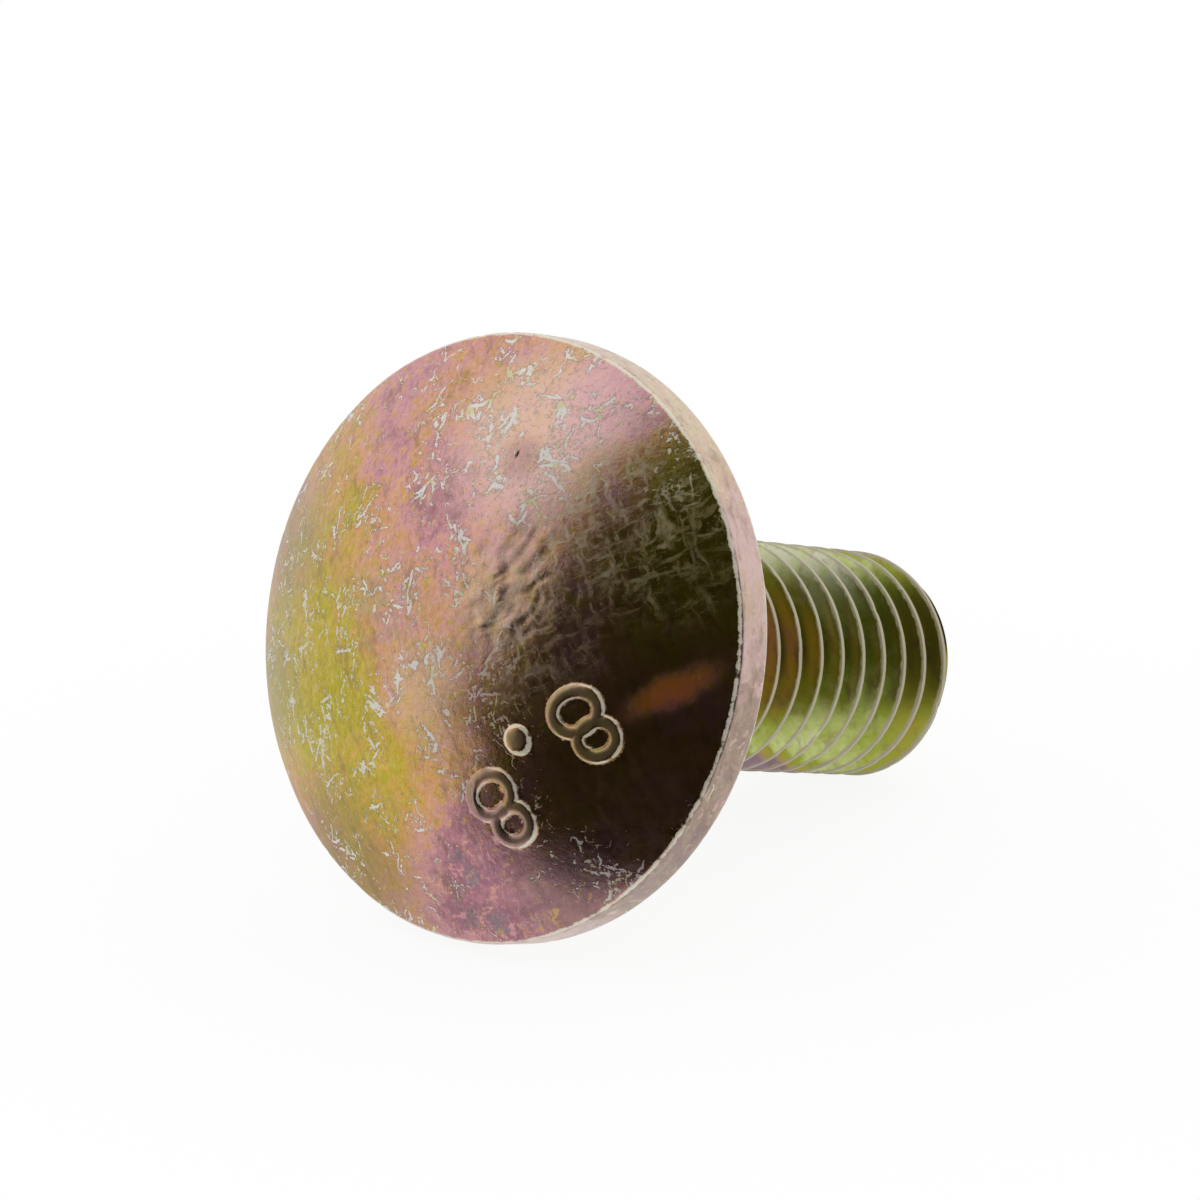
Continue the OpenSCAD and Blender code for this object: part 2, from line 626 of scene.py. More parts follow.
    def scratch_run(self, graph: Graph, flat: Socket, run: ScratchRun, offset: float) -> Socket:
        """How far a place is from its scratch, in half widths of the scratch.

        Args:
            graph: The material's graph.
            flat: The flat coordinates.
            run: The run of scratches.
            offset: How far the net of cells is shifted against the other runs' nets.

        Returns:
            Less than 1 in a scratch, and more beside it.
        """
        scale = (1 / run.cell, 1 / run.cell, 1.0)
        inputs = {"Vector": flat, "Location": (offset, 0.61 * offset, 0.0), "Scale": scale}
        net = graph.node("ShaderNodeMapping", {"vector_type": "POINT"}, inputs)["Vector"]
        settings = {"voronoi_dimensions": "2D", "feature": "F1"}
        cells = graph.node("ShaderNodeTexVoronoi", settings, {"Vector": net, "Scale": 1.0})
        chance = graph.node("ShaderNodeSeparateColor", None, {0: cells["Color"]})
        away = graph.vector("SUBTRACT", net, cells["Position"])["Vector"]
        angle = math.radians(run.degrees) + (chance[0] - 0.5) * math.radians(run.spread)
        inputs = {"Vector": away, "Angle": angle}
        turned = graph.node("ShaderNodeVectorRotate", {"rotation_type": "Z_AXIS"}, inputs)["Vector"]
        parts = graph.node("ShaderNodeSeparateXYZ", None, {0: turned})
        size = run.least_size + chance[1] * run.size_range
        along = parts[0] * (2 * run.cell / run.length) / size
        bent = parts[1] + parts[0] * parts[0] * (chance[1] - 0.5) * run.bend
        aside = bent * (2 * run.cell / run.width) / (0.6 + size * 0.4)
        left_out = graph.step(chance[2], run.share, run.share + 0.02) * 9.0
        return (along * along + aside * aside).root() + left_out

    def bareness(self, graph: Graph, flat: Socket) -> Socket:
        """How far a place is from bare zinc.

        Args:
            graph: The material's graph.
            flat: The flat coordinates.

        Returns:
            Less than 1 in a scratch, a vein or a speck, and more beside it.
        """
        # Ragged specks, more of them in some places than in others
        bent = graph.warp(graph.warp(flat, 0.8, 0.5), 3.2, 0.16)
        ragged = graph.noise(graph.warp(flat, 4.0, 0.3), BARE_SPECKS)["Fac"]
        cluster = graph.noise(flat, BARE_CLUSTERS)["Fac"]
        nearest = 1.0 + (self.specks - ragged - (cluster - 0.5) * 0.5) * 14.0
        # Scratches and veins, which break off here and there
        gap = graph.noise(flat, SCRATCH_GAPS)["Fac"]
        if self.runs:
            broken = graph.step(gap, 0.52, 0.66) * 1.9 + graph.step(cluster, 0.56, 0.44) * 2.2
            lines: Socket = self.scratch_run(graph, bent, self.runs[0], 0.0)
            for count, run in enumerate(self.runs[1:], 1):
                lines = lines.least(self.scratch_run(graph, bent, run, 7.3 * count))
            nearest = nearest.least(lines + broken)
        if self.veins:
            level = graph.noise(graph.warp(flat, 1.4, 0.8), BARE_VEINS)["Fac"]
            off = graph.node("ShaderNodeMath", {"operation": "ABSOLUTE"}, {0: level - 0.5})[0]
            nearest = nearest.least(off / self.veins + graph.step(gap, 0.56, 0.48) * 3.0)
        for patch in self.spared:
            share = self.field_share(graph, bent, patch.x, patch.y, patch.reach)
            nearest = nearest + share * patch.change
        rough_edge = (graph.noise(flat, SCRATCH_EDGES)["Fac"] - 0.5) * 3.2
        return nearest + rough_edge

    def streaks(self, graph: Graph, flat: Socket) -> Socket:
        """Soft, gritty streaks in two directions that cross.

        Args:
            graph: The material's graph.
            flat: The flat coordinates.

        Returns:
            1 in a streak and 0 beside it.
        """
        first, second = (
            graph.step(self.drawn_out(graph, flat, degrees, self.streak_sizes), 0.44, 0.7)
            for degrees in self.streak_degrees
        )
        grit = graph.step(graph.noise(flat, STREAK_GRIT)["Fac"], 0.36, 0.62)
        return first.most(second) * (0.45 + grit * 0.55)

    def flecks(self, graph: Graph, where: Socket) -> Socket:
        """Small golden flecks in loose groups.

        Args:
            graph: The material's graph.
            where: The drawing's coordinates.

        Returns:
            1 in a fleck and 0 beside it.
        """
        group = graph.step(graph.noise(where, FLECK_GROUPS)["Fac"], 0.44, 0.56)
        ragged = graph.noise(graph.warp(where, 2.6, 0.4), FLECKS)["Fac"]
        return graph.step(ragged, 0.57, 0.66) * group

    def film_colour(self, graph: Graph, where: Socket, flat: Socket) -> Socket:
        """The film's colour, with its smudges and its fine mottling.

        Args:
            graph: The material's graph.
            where: The drawing's coordinates.
            flat: The flat coordinates.

        Returns:
            The colour.
        """
        stops = [(place, tint.value) for place, tint in self.stops]
        thickness = self.film_thickness(graph, where, flat)
        colour = graph.node("ShaderNodeValToRGB", {"stops": stops}, {0: thickness})["Color"]
        # Darker smudges, and a fine mottling both paler and darker
        smudge = self.drawn_out(graph, where, self.streak_degrees[0], self.smudge_sizes)
        colour = graph.mix(graph.step(smudge, 0.5, 0.72) * 0.5, colour, self.smudge)
        fine = graph.noise(graph.stretched(where, (1.0, 0.45, 1.0)), MOTTLING)["Fac"]
        colour = graph.mix(graph.step(fine, 0.5, 0.76) * self.mottling, colour, self.pale_mottle)
        return graph.mix(graph.step(fine, 0.5, 0.24) * self.mottling, colour, self.dark_mottle)

    def stained(
        self, graph: Graph, flat: Socket, colour: Socket, dull: Socket
    ) -> tuple[Socket, Socket]:
        """Lays the stains over the film.

        Args:
            graph: The material's graph.
            flat: The flat coordinates.
            colour: The film's colour.
            dull: How dull the film is.

        Returns:
            The stained colour, and how dull it is.
        """
        streaks = self.streaks(graph, flat)
        for stain in self.stains:
            share = self.stain_share(graph, flat, stain)
            if stain.streaked:
                share = share * streaks
            colour = graph.mix(share, colour, stain.tint)
            if stain.dull:
                dull = share * stain.dull + dull
        return colour, dull

    def scratched(self, graph: Graph, flat: Socket, colour: Socket) -> tuple[Socket, Socket]:
        """Scratches the film down to the zinc, with painted shade beside each scratch.

        Args:
            graph: The material's graph.
            flat: The flat coordinates.
            colour: The film's colour.

        Returns:
            The scratched colour, and how bare the zinc is.
        """
        nearest = self.bareness(graph, flat)
        strength: Value = 1.0
        for patch in self.faint:
            share = self.field_share(graph, flat, patch.x, patch.y, patch.reach)
            strength = strength - share * patch.change
        bare = (graph.step(nearest, 1.15, 0.7) * strength).most(0.0)
        # Painted shade: a darker rim along each scratch, as if its edges lay in shadow
        outline = graph.step(nearest, 2.1, 1.2) * strength * 0.34
        pale = graph.step(graph.noise(flat, SCRATCH_TINTS)["Fac"], 0.5, 0.64)
        colour = graph.mix(outline, colour, self.scratch_shade)
        return graph.mix(bare * 0.9, colour, graph.mix(pale, self.silver, self.pale_film)), bare

    def wear_and_highlight_share(self, graph: Graph, where: Socket) -> Socket:
        """How much of the worn silver shows at a place: wear, and the painted highlight lines on the head.

        Args:
            graph: The material's graph.
            where: The drawing's coordinates.

        Returns:
            The mesh's own wear and painted highlight, with a ragged edge, from 0 to 1.
        """
        worn = graph.node("ShaderNodeAttribute", {"attribute_name": "worn"})["Fac"]
        ragged = (graph.noise(where, WEAR_AND_HIGHLIGHT_EDGES)["Fac"] - 0.5) * self.wear_and_highlight_noise
        return graph.step(worn + ragged * graph.step(worn, 0.0, 0.1), 0.45, 0.75)

    def build(self) -> bpy.types.Material:
        """Makes the material: the film, its stains and flecks, the scratches with painted shade beside them,
        and the wear with its painted highlight lines.

        Returns:
            The finished material.
        """
        material = bpy.data.materials.new(self.name)
        graph = Graph(material)
        where = self.coordinates(graph)
        flat = self.laid_out(graph, where)
        rubbed = graph.node("ShaderNodeAttribute", {"attribute_name": "rubbed"})["Fac"]
        # The worn attribute holds real wear and the painted highlight lines at the band's edges and at the
        # mark's feet
        worn = self.wear_and_highlight_share(graph, where)

        colour = self.film_colour(graph, where, flat)
        colour, dull = self.stained(graph, flat, colour, rubbed * 0.8 + self.dullness)
        if self.flecking:
            colour = graph.mix(self.flecks(graph, where) * self.flecking, colour, self.fleck)
        colour, bare = self.scratched(graph, flat, colour)
        colour = graph.mix(rubbed * 0.5, colour, self.rubbed_zinc)
        # Worn silver, which also paints the highlight lines at the band's edges and the mark's feet
        colour = graph.mix(worn * 0.85, colour, self.wear_and_highlight_silver)

        # Bare zinc, stains, wear and the painted highlight lines mirror less than the film does, and are
        # rougher
        metallic = 1.0 - bare.most(worn * 2.4) * 0.22 - dull * 0.12
        rough = self.roughness + (graph.noise(where, POLISH)["Fac"] - 0.5) * 0.14
        rough = rough + bare * 0.2 + worn * 0.1 + dull * 0.14
        height = graph.noise(where, GRAIN)["Fac"] - bare * 0.4
        inputs = {"Height": height, "Strength": 1.0, "Distance": self.grain * MM}
        bump = graph.node("ShaderNodeBump", None, inputs)["Normal"]

        inputs = {"Base Color": colour, "Metallic": metallic, "Roughness": rough, "Normal": bump}
        shader = graph.node("ShaderNodeBsdfPrincipled", None, inputs)["BSDF"]
        graph.node("ShaderNodeOutputMaterial", None, {"Surface": shader})
        return material


class Section:
    """Half of a turned shape's outline in the XZ plane, drawn like a line with a pen."""

    def __init__(self, x: float, z: float) -> None:
        """Puts the pen down."""
        self.mesh = bmesh.new()
        self.pen = self.mesh.verts.new((x, 0, z))

    def line(self, x: float, z: float, steps: int = 1) -> "Section":
        """Draws a straight line to a point.

        Args:
            x: Where it ends, away from the axis.
            z: Where it ends, along the axis.
            steps: How many equal steps it has.

        Returns:
            The section, for the next stroke.
        """
        step = (Vector((x, 0, z)) - self.pen.co) / steps
        for _ in range(steps):
            made = bmesh.ops.extrude_vert_indiv(self.mesh, verts=[self.pen])["verts"]
            bmesh.ops.translate(self.mesh, verts=made, vec=step)
            self.pen = made[0]
        return self

    def arc(self, x: float, z: float, degrees: float, steps: int) -> "Section":
        """Turns the pen round a centre. From straight above it, a positive turn goes towards +X.

        Args:
            x: Where the centre is, away from the axis.
            z: Where the centre is, along the axis.
            degrees: How far the pen turns.
            steps: How many equal steps the arc has.

        Returns:
            The section, for the next stroke.
        """
        made = bmesh.ops.spin(
            self.mesh,
            geom=[self.pen],
            cent=(x, 0, z),
            axis=(0, 1, 0),
            angle=math.radians(degrees),
            steps=steps,
        )
        self.pen = next(part for part in made["geom_last"] if isinstance(part, bmesh.types.BMVert))
        return self

    def revolve(self, spokes: int) -> bmesh.types.BMesh:
        """Turns the outline into a closed solid.

        Args:
            spokes: How many steps the full turn has.

        Returns:
            The mesh, welded, with its faces pointing outwards.
        """
        bmesh.ops.spin(
            self.mesh,
            geom=self.mesh.verts[:] + self.mesh.edges[:],
            cent=(0, 0, 0),
            axis=(0, 0, 1),
            angle=math.tau,
            steps=spokes,
            use_merge=True,
        )
        return tidy(self.mesh)

    def screw(self, turns: int, steps: int, pitch: float) -> bmesh.types.BMesh:
        """Winds the outline up a right-hand screw: one turn, and copies of it above each other.

        Args:
            turns: How many turns it makes.
            steps: How many steps there are in a turn.
            pitch: How far it climbs in a turn.

        Returns:
            The mesh, welded but open at both ends.
        """
        bmesh.ops.spin(
            self.mesh,
            geom=self.mesh.verts[:] + self.mesh.edges[:],
            cent=(0, 0, 0),
            dvec=(0, 0, pitch / steps),
            axis=(0, 0, 1),
            angle=math.tau,
            steps=steps,
        )
        first = self.mesh.verts[:] + self.mesh.edges[:] + self.mesh.faces[:]
        for count in range(1, turns):
            copied = bmesh.ops.duplicate(self.mesh, geom=first)["geom"]
            verts = [part for part in copied if isinstance(part, bmesh.types.BMVert)]
            bmesh.ops.translate(self.mesh, verts=verts, vec=(0, 0, count * pitch))
        bmesh.ops.remove_doubles(self.mesh, verts=self.mesh.verts, dist=WELD)
        return self.mesh


def tidy(mesh: bmesh.types.BMesh) -> bmesh.types.BMesh:
    """Welds the seam and the poles of a closed mesh and turns its faces outwards.

    Args:
        mesh: The mesh.

    Returns:
        The same mesh.
    """
    bmesh.ops.remove_doubles(mesh, verts=mesh.verts, dist=WELD)
    bmesh.ops.recalc_face_normals(mesh, faces=mesh.faces)
    return mesh


def cut_off(mesh: bmesh.types.BMesh, point: Vector, outward: Vector) -> None:
    """Cuts a mesh by a plane, takes away what lies outwards and closes the cut.

    Args:
        mesh: The mesh.
        point: A point on the plane.
        outward: The direction of what is taken away, square to the plane.
    """
    cut = bmesh.ops.bisect_plane(
        mesh,
        geom=mesh.verts[:] + mesh.edges[:] + mesh.faces[:],
        dist=WELD,
        plane_co=point,
        plane_no=outward,
        clear_outer=True,
    )
    rim = [part for part in cut["geom_cut"] if isinstance(part, bmesh.types.BMEdge)]
    bmesh.ops.holes_fill(mesh, edges=rim, sides=0)


@dataclass(frozen=True)
class Loop:
    """A raised bead round an oval that lies aslant.

    Attributes:
        x: The X of its middle in the drawing.
        y: The Y of its middle in the drawing.
        long_radius: The oval's longer radius, to the middle of the bead.
        short_radius: The oval's shorter radius, to the middle of the bead.
        degrees: The direction of the longer radius.
    """

    x: float
    y: float
    long_radius: float
    short_radius: float
    degrees: float

    def offset(self, x: float, y: float) -> float:
        """How far a place is from the middle of the bead.

        Args:
            x: The X of the place.
            y: The Y of the place.

        Returns:
            The distance, which is less than zero inside the loop.
        """
        cosine = math.cos(math.radians(self.degrees))
        sine = math.sin(math.radians(self.degrees))
        along = ((x - self.x) * cosine + (y - self.y) * sine) / self.long_radius
        aside = ((y - self.y) * cosine - (x - self.x) * sine) / self.short_radius
        size = math.hypot(along, aside)
        if size < WELD:
            return -self.short_radius
        slope = math.hypot(along / self.long_radius, aside / self.short_radius) / size
        return (size - 1) / slope


@dataclass(frozen=True)
class StrengthMark:
    """The raised strength number 8.8: four loops and a round point."""

    loops: tuple[Loop, ...] = (
        Loop(5.43, -1.35, 0.76, 0.61, 40.2),
        Loop(6.21, -2.03, 0.62, 0.52, 40.2),
        Loop(2.83, -4.59, 0.76, 0.61, 40.2),
        Loop(3.62, -5.33, 0.62, 0.52, 40.2),
    )
    point_x: float = 3.66
    point_y: float = -2.64
    point_radius: float = 0.5
    point_height: float = 0.8
    bead_width: float = 0.5
    height: float = 0.18

    def raised(self, x: float, y: float) -> float:
        """How high the mark stands at a place.

        Args:
            x: The X of the place.
            y: The Y of the place.

        Returns:
            The share of its full height.
        """
        half = self.bead_width / 2
        share = 0.0
        for loop in self.loops:
            off = loop.offset(x, y) / half
            share = max(share, math.sqrt(max(0.0, 1 - off * off)))
        off = math.hypot(x - self.point_x, y - self.point_y) / self.point_radius
        return max(share, self.point_height * math.sqrt(max(0.0, 1 - off * off)))

    def off_middle(self, x: float, y: float) -> float:
        """Where a place is across the nearest stroke.

        Args:
            x: The X of the place.
            y: The Y of the place.

        Returns:
            0 on the middle of the stroke, 1 on its outer foot and -1 on its inner foot.
        """
        half = self.bead_width / 2
        off = math.hypot(x - self.point_x, y - self.point_y) / self.point_radius
        return min([off] + [loop.offset(x, y) / half for loop in self.loops], key=abs)

    def near(self, x: float, y: float, margin: float) -> bool:
        """Whether a place is on the mark or close to it.

        Args:
            x: The X of the place.
            y: The Y of the place.
            margin: How far from the mark is still close.

        Returns:
            Whether it is.
        """
        gap = min(abs(loop.offset(x, y)) for loop in self.loops) - self.bead_width / 2
        point_gap = math.hypot(x - self.point_x, y - self.point_y) - self.point_radius
        return min(gap, point_gap) < margin


@dataclass(frozen=True)
class Wrinkles:
    """A patch of short folds that the header's die left in the dome.

    Attributes:
        x: The X of its middle in the drawing.
        y: The Y of its middle in the drawing.
        reach: How far it reaches.
        degrees: The direction of the folds.
        fold_length: How long a fold is.
        fold_width: How wide a fold is.
        lumps_per_mm: How close the lumps between the folds are.
        grains_per_mm: How close the finest lumps are.
        bends_per_mm: How close the bends of the folds are.
        depth: How deep a fold is.
    """

    x: float = 2.1
    y: float = 2.0
    reach: float = 2.9
    degrees: float = 43
    fold_length: float = 0.75
    fold_width: float = 0.36
    lumps_per_mm: float = 2.0
    grains_per_mm: float = 5.0
    bends_per_mm: float = 0.9
    depth: float = 0.015

    def strength(self, x: float, y: float) -> float:
        """How strong the folds are at a place: 1 in the middle of the patch, 0 outside it."""
        return smooth_step(self.reach, 0.3 * self.reach, math.hypot(x - self.x, y - self.y))

    def sunk(self, x: float, y: float) -> float:
        """How deep the folds are at a place.

        Args:
            x: The X of the place.
            y: The Y of the place.

        Returns:
            The depth below the plain dome.
        """
        strength = self.strength(x, y)
        if strength == 0:
            return 0.0
        cosine = math.cos(math.radians(self.degrees))
        sine = math.sin(math.radians(self.degrees))
        bend = ripple(x, y, self.bends_per_mm, 7.3)
        along = (x * cosine + y * sine) / self.fold_length
        aside = (y * cosine - x * sine) / self.fold_width
        fold = ripple(along + bend, aside + 2 * bend, 1.0, 3.7)
        lump = ripple(x, y, self.lumps_per_mm, 1.9)
        grain = ripple(x, y, self.grains_per_mm, 6.4)
        return strength * self.depth * (smooth_step(-0.5, 0.6, fold) + 1.4 * lump + 0.15 * grain)


@dataclass(frozen=True)
class Head:
    """The low dome with its straight band, the folds and the raised strength number on it.

    Attributes:
        diameter: The diameter over the band.
        dome_h: The height of the dome above the band.
        band_t: The height of the band.
        band_round: The radius between the band and the dome.
        rim_round: The radius between the band and the bearing face.
        spokes: The steps of the full turn.
        dome_rings: The steps from the top of the dome to the band.
        mark: The raised strength number.
        wrinkles: The folds.
        pit_x: The X of the small pit.
        pit_y: The Y of the small pit.
        pit_radius: The longer radius of the pit.
        pit_narrowed: How much longer than wide the pit is.
        pit_depth: The depth of the pit.
        pit_finer: How far from the middle of the pit the mesh is finer.
        mark_finer: How far from the number the mesh is finer.
        waviness: How uneven the dome is.
        waves_per_mm: How close its waves are.
        dents_per_mm: How close its smaller dents are.
        edge_waviness: How uneven the band is.
        edge_zone: How far in from the band the edge is uneven.
        edge_waves_per_mm: How close the band's waves are.
        nick_depth: The depth of a nick in the band's edges.
        nicks_per_mm: How close the nicks can be.
        worn_and_lit_line_in: How far inside the band the middle of a line of wear and painted highlight is.
        worn_and_lit_line_up: Where that middle is on the rounding towards the dome, from its centre up.
    """

    diameter: float = 19.7
    dome_h: float = 3.0
    band_t: float = 1.45
    band_round: float = 0.3
    rim_round: float = 0.2
    spokes: int = 320
    dome_rings: int = 96
    mark: StrengthMark = StrengthMark()
    wrinkles: Wrinkles = Wrinkles()
    pit_x: float = 1.15
    pit_y: float = 6.02
    pit_radius: float = 0.24
    pit_narrowed: float = 2.0
    pit_depth: float = 0.035
    pit_finer: float = 0.3
    mark_finer: float = 0.1
    waviness: float = 0.03
    waves_per_mm: float = 0.28
    dents_per_mm: float = 0.9
    edge_waviness: float = 0.035
    edge_zone: float = 0.7
    edge_waves_per_mm: float = 0.45
    nick_depth: float = 0.04
    nicks_per_mm: float = 2.6
    worn_and_lit_line_in: float = 0.06
    worn_and_lit_line_up: float = 0.58

    @property
    def radius(self) -> float:
        """The head's radius."""
        return self.diameter / 2

    @property
    def dome_radius(self) -> float:
        """The radius of the sphere that the dome is part of."""
        return (self.radius ** 2 + self.dome_h ** 2) / (2 * self.dome_h)

    @property
    def dome_centre(self) -> float:
        """The height of that sphere's centre."""
        return self.dome_h + self.band_t - self.dome_radius

    @property
    def band_round_z(self) -> float:
        """The height of the rounding between the dome and the band."""
        inside = (self.dome_radius - self.band_round) ** 2 - (self.radius - self.band_round) ** 2
        return self.dome_centre + math.sqrt(inside)

    def solid(self) -> bmesh.types.BMesh:
        """Turns the head's section, and shapes the dome and the band.

        Returns:
            The closed head, with its marks and folds.
        """
        band_x = self.radius - self.band_round
        rim_x = self.radius - self.rim_round
        lean = math.degrees(math.atan2(band_x, self.band_round_z - self.dome_centre))
        section = Section(0, self.dome_h + self.band_t)
        section.arc(0, self.dome_centre, lean, self.dome_rings)
        section.arc(band_x, self.band_round_z, 90 - lean, 6)
        section.line(self.radius, self.rim_round, 8)
        section.arc(rim_x, self.rim_round, 90, 5)
        section.line(self.radius / 2, 0, 6)
        section.line(0, 0)
        mesh = section.revolve(self.spokes)
        self.refine(mesh, lambda x, y: self.wrinkles.strength(x, y) > 0, 1)
        self.refine(mesh, lambda x, y: self.mark.near(x, y, self.mark_finer), 3)
        self.refine(mesh, lambda x, y: math.hypot(x - self.pit_x, y - self.pit_y) < self.pit_finer, 2)
        self.shape(mesh)
        return mesh

    def refine(self, mesh: bmesh.types.BMesh, wanted: Callable[[float, float], bool], cuts: int) -> None:
        """Divides the dome's edges more finely where that is wanted.

        Args:
            mesh: The head's mesh.
            wanted: Whether a place on the dome, in X and Y, needs finer edges.
            cuts: How many times each such edge is cut.
        """
        chosen = {v for v in mesh.verts if v.co.z > self.band_round_z and wanted(v.co.x, v.co.y)}
        edges = [edge for edge in mesh.edges if edge.verts[0] in chosen and edge.verts[1] in chosen]
        bmesh.ops.subdivide_edges(mesh, edges=edges, cuts=cuts, use_grid_fill=True)
        for vert in mesh.verts:
            away = math.hypot(vert.co.x, vert.co.y)
            if vert.co.z > self.band_round_z + self.band_round and away < self.radius - self.band_round:
                vert.co.z = self.dome_centre + math.sqrt(self.dome_radius ** 2 - away ** 2)

    def shape(self, mesh: bmesh.types.BMesh) -> None:
        """Moves the points of the head to its uneven surface.

        Args:
            mesh: The head's mesh, in its plain form.
        """
        low = Vector((0.0, 0.0, self.dome_centre))
        for vert in mesh.verts:
            place = vert.co.copy()
            away = math.hypot(place.x, place.y)
            if place.z > self.rim_round / 2 and away > self.radius - self.edge_zone:
                inward = self.edge_inward(place)
                vert.co.x -= inward * place.x / away
                vert.co.y -= inward * place.y / away
            if place.z > self.band_round_z:
                vert.co -= (vert.co - low).normalized() * self.dome_sunk(place.x, place.y)

    def edge_inward(self, place: Vector) -> float:
        """How far the uneven band lies inside its plain form at a place.

        Args:
            place: The place on the plain form.

        Returns:
            The distance, towards the axis.
        """
        x, y, z = place
        wave = ripple(x, y, self.edge_waves_per_mm, z * 0.3)
        nick = smooth_step(0.35, 0.75, ripple(x, y, self.nicks_per_mm, z * 1.5 + 9))
        inward = self.edge_waviness * (0.5 + 0.5 * wave) + self.nick_depth * nick
        return inward * smooth_step(self.radius - self.edge_zone, self.radius - 0.1, math.hypot(x, y))

    def dome_sunk(self, x: float, y: float) -> float:
        """How far the uneven dome lies below its plain form at a place.

        Args:
            x: The X of the place.
            y: The Y of the place.

        Returns:
            The depth, which is less than zero on the raised number.
        """
        sunk = self.waviness * (0.5 + ripple(x, y, self.waves_per_mm, 0.4))
        sunk += 0.25 * self.waviness * ripple(x, y, self.dents_per_mm, 5.1)
        sunk += self.wrinkles.sunk(x, y)
        pit = math.hypot((x - self.pit_x) * self.pit_narrowed, y - self.pit_y)
        sunk += self.pit_depth * smooth_step(self.pit_radius, 0, pit)
        sunk *= smooth_step(self.radius - 0.1, self.radius - 1.2, math.hypot(x, y))
        if self.mark.near(x, y, 0):
            sunk -= self.mark.height * self.mark.raised(x, y)
        return sunk

    def worn(self, place: Vector) -> float:
        """How far the film is worn off at the band's two edges, partly a painted highlight, and the painted
        highlight lines at the mark's foot.

        Args:
            place: The place on the head.

        Returns:
            The wear and the painted highlight, from 0 to 1.
        """
        away = math.hypot(place.x, place.y)
        # The band's two edges: worn zinc, partly a painted highlight on the roundings
        if away > self.radius - 1.0:
            line_x = self.radius - self.worn_and_lit_line_in
            front = Vector((line_x, self.band_round_z + self.worn_and_lit_line_up * self.band_round))
            back = Vector((line_x, self.worn_and_lit_line_in))
            here = Vector((away, place.z))
            front_share = smooth_step(0.15, 0.03, (here - front).length)
            back_share = smooth_step(0.15, 0.03, (here - back).length)
            return max(0.8 * front_share, 0.95 * back_share)
        # Painted highlight: pale lines along the outer and inner foot of each stroke, where the bead's
        # slopes catch the light
        if place.z > self.band_t and self.mark.near(place.x, place.y, 0.02):
            off = self.mark.off_middle(place.x, place.y)
            line = smooth_step(0.6, 0.8, off) if off > 0 else smooth_step(-0.66, -0.86, off)
            return 0.8 * line * smooth_step(1.06, 0.96, abs(off))
        return 0.0

    def rubbed(self, place: Vector) -> float:
        """How dull and grey a place is rubbed: the tops of the raised number.

        Args:
            place: The place on the bolt.

        Returns:
            The share, from 0 to 1.
        """
        if place.z < self.band_t or not self.mark.near(place.x, place.y, 0):
            return 0.0
        return smooth_step(0.8, 0.35, abs(self.mark.off_middle(place.x, place.y)))


@dataclass(frozen=True)
class SquareNeck:
    """The square neck with blunted corners, which a cone brings down to the shank.

    Attributes:
        length: The length below the bearing face.
        width: The width across the flats.
        corner_cut: How far each corner is blunted, along its diagonal.
        foot: The reach of the hollow rounding at the bearing face.
        foot_steps: The steps of that rounding.
        end_radius: The radius of the end, just inside the shank.
        shank_radius: The radius of the shank behind the thread.
        sunk_in_head: How far the neck reaches into the head.
        spokes: The steps of the full turn.
    """

    length: float = 5.0
    width: float = 8.1
    corner_cut: float = 0.45
    foot: float = 0.4
    foot_steps: int = 6
    end_radius: float = 3.55
    shank_radius: float = 3.594
    sunk_in_head: float = 0.6
    spokes: int = 288

    @property
    def corner_radius(self) -> float:
        """How far the blunted corners are from the axis."""
        return self.width / math.sqrt(2) - self.corner_cut

    def solid(self) -> bmesh.types.BMesh:
        """Turns the neck's corners and their cone, cuts the four flats and draws the foot out.

        Returns:
            The closed neck, which reaches into the head and ends inside the shank.
        """
        corner = self.corner_radius
        cone_z = -(self.length + self.shank_radius - corner)
        section = Section(0, self.sunk_in_head)
        section.line(corner, self.sunk_in_head)
        section.line(corner, 0)
        section.line(corner, -self.foot, self.foot_steps)
        section.line(corner, cone_z, 2)
        section.line(self.end_radius, cone_z - (corner - self.end_radius), 4)
        section.line(0, cone_z - (corner - self.end_radius))
        mesh = section.revolve(self.spokes)
        for quarter in range(4):
            outward = Matrix.Rotation(math.radians(90 * quarter), 3, "Z") @ Vector((1, 0, 0))
            cut_off(mesh, outward * self.width / 2, outward)
        for step in range(self.foot_steps + 1):
            bmesh.ops.bisect_plane(
                mesh,
                geom=mesh.verts[:] + mesh.edges[:] + mesh.faces[:],
                dist=WELD,
                plane_co=(0, 0, -self.foot * step / self.foot_steps),
                plane_no=(0, 0, 1),
            )
        self.draw_out_foot(mesh)
        return tidy(mesh)

    def draw_out_foot(self, mesh: bmesh.types.BMesh) -> None:
        """Widens the top of the neck to a hollow rounding.

        Args:
            mesh: The neck's mesh, with a ring of points at each step of the rounding.
        """
        for vert in mesh.verts:
            if vert.co.z > -self.foot and math.hypot(vert.co.x, vert.co.y) > WELD:
                down = min(1.0, -min(0.0, vert.co.z) / self.foot)
                hollow = self.foot * (1 - math.sqrt(max(0.0, 1 - (1 - down) ** 2)))
                grown = 1 + hollow / (self.width / 2)
                vert.co.x *= grown
                vert.co.y *= grown

    def worn(self, place: Vector) -> float:
        """How far the film is rubbed off: the corners of the square.

        Args:
            place: The place on the neck.

        Returns:
            The wear, from 0 to 1.
        """
        away = math.hypot(place.x, place.y)
        if place.z > -self.foot or place.z < -self.length:
            return 0.0
        return 0.7 * smooth_step(self.corner_radius - 0.12, self.corner_radius, away)


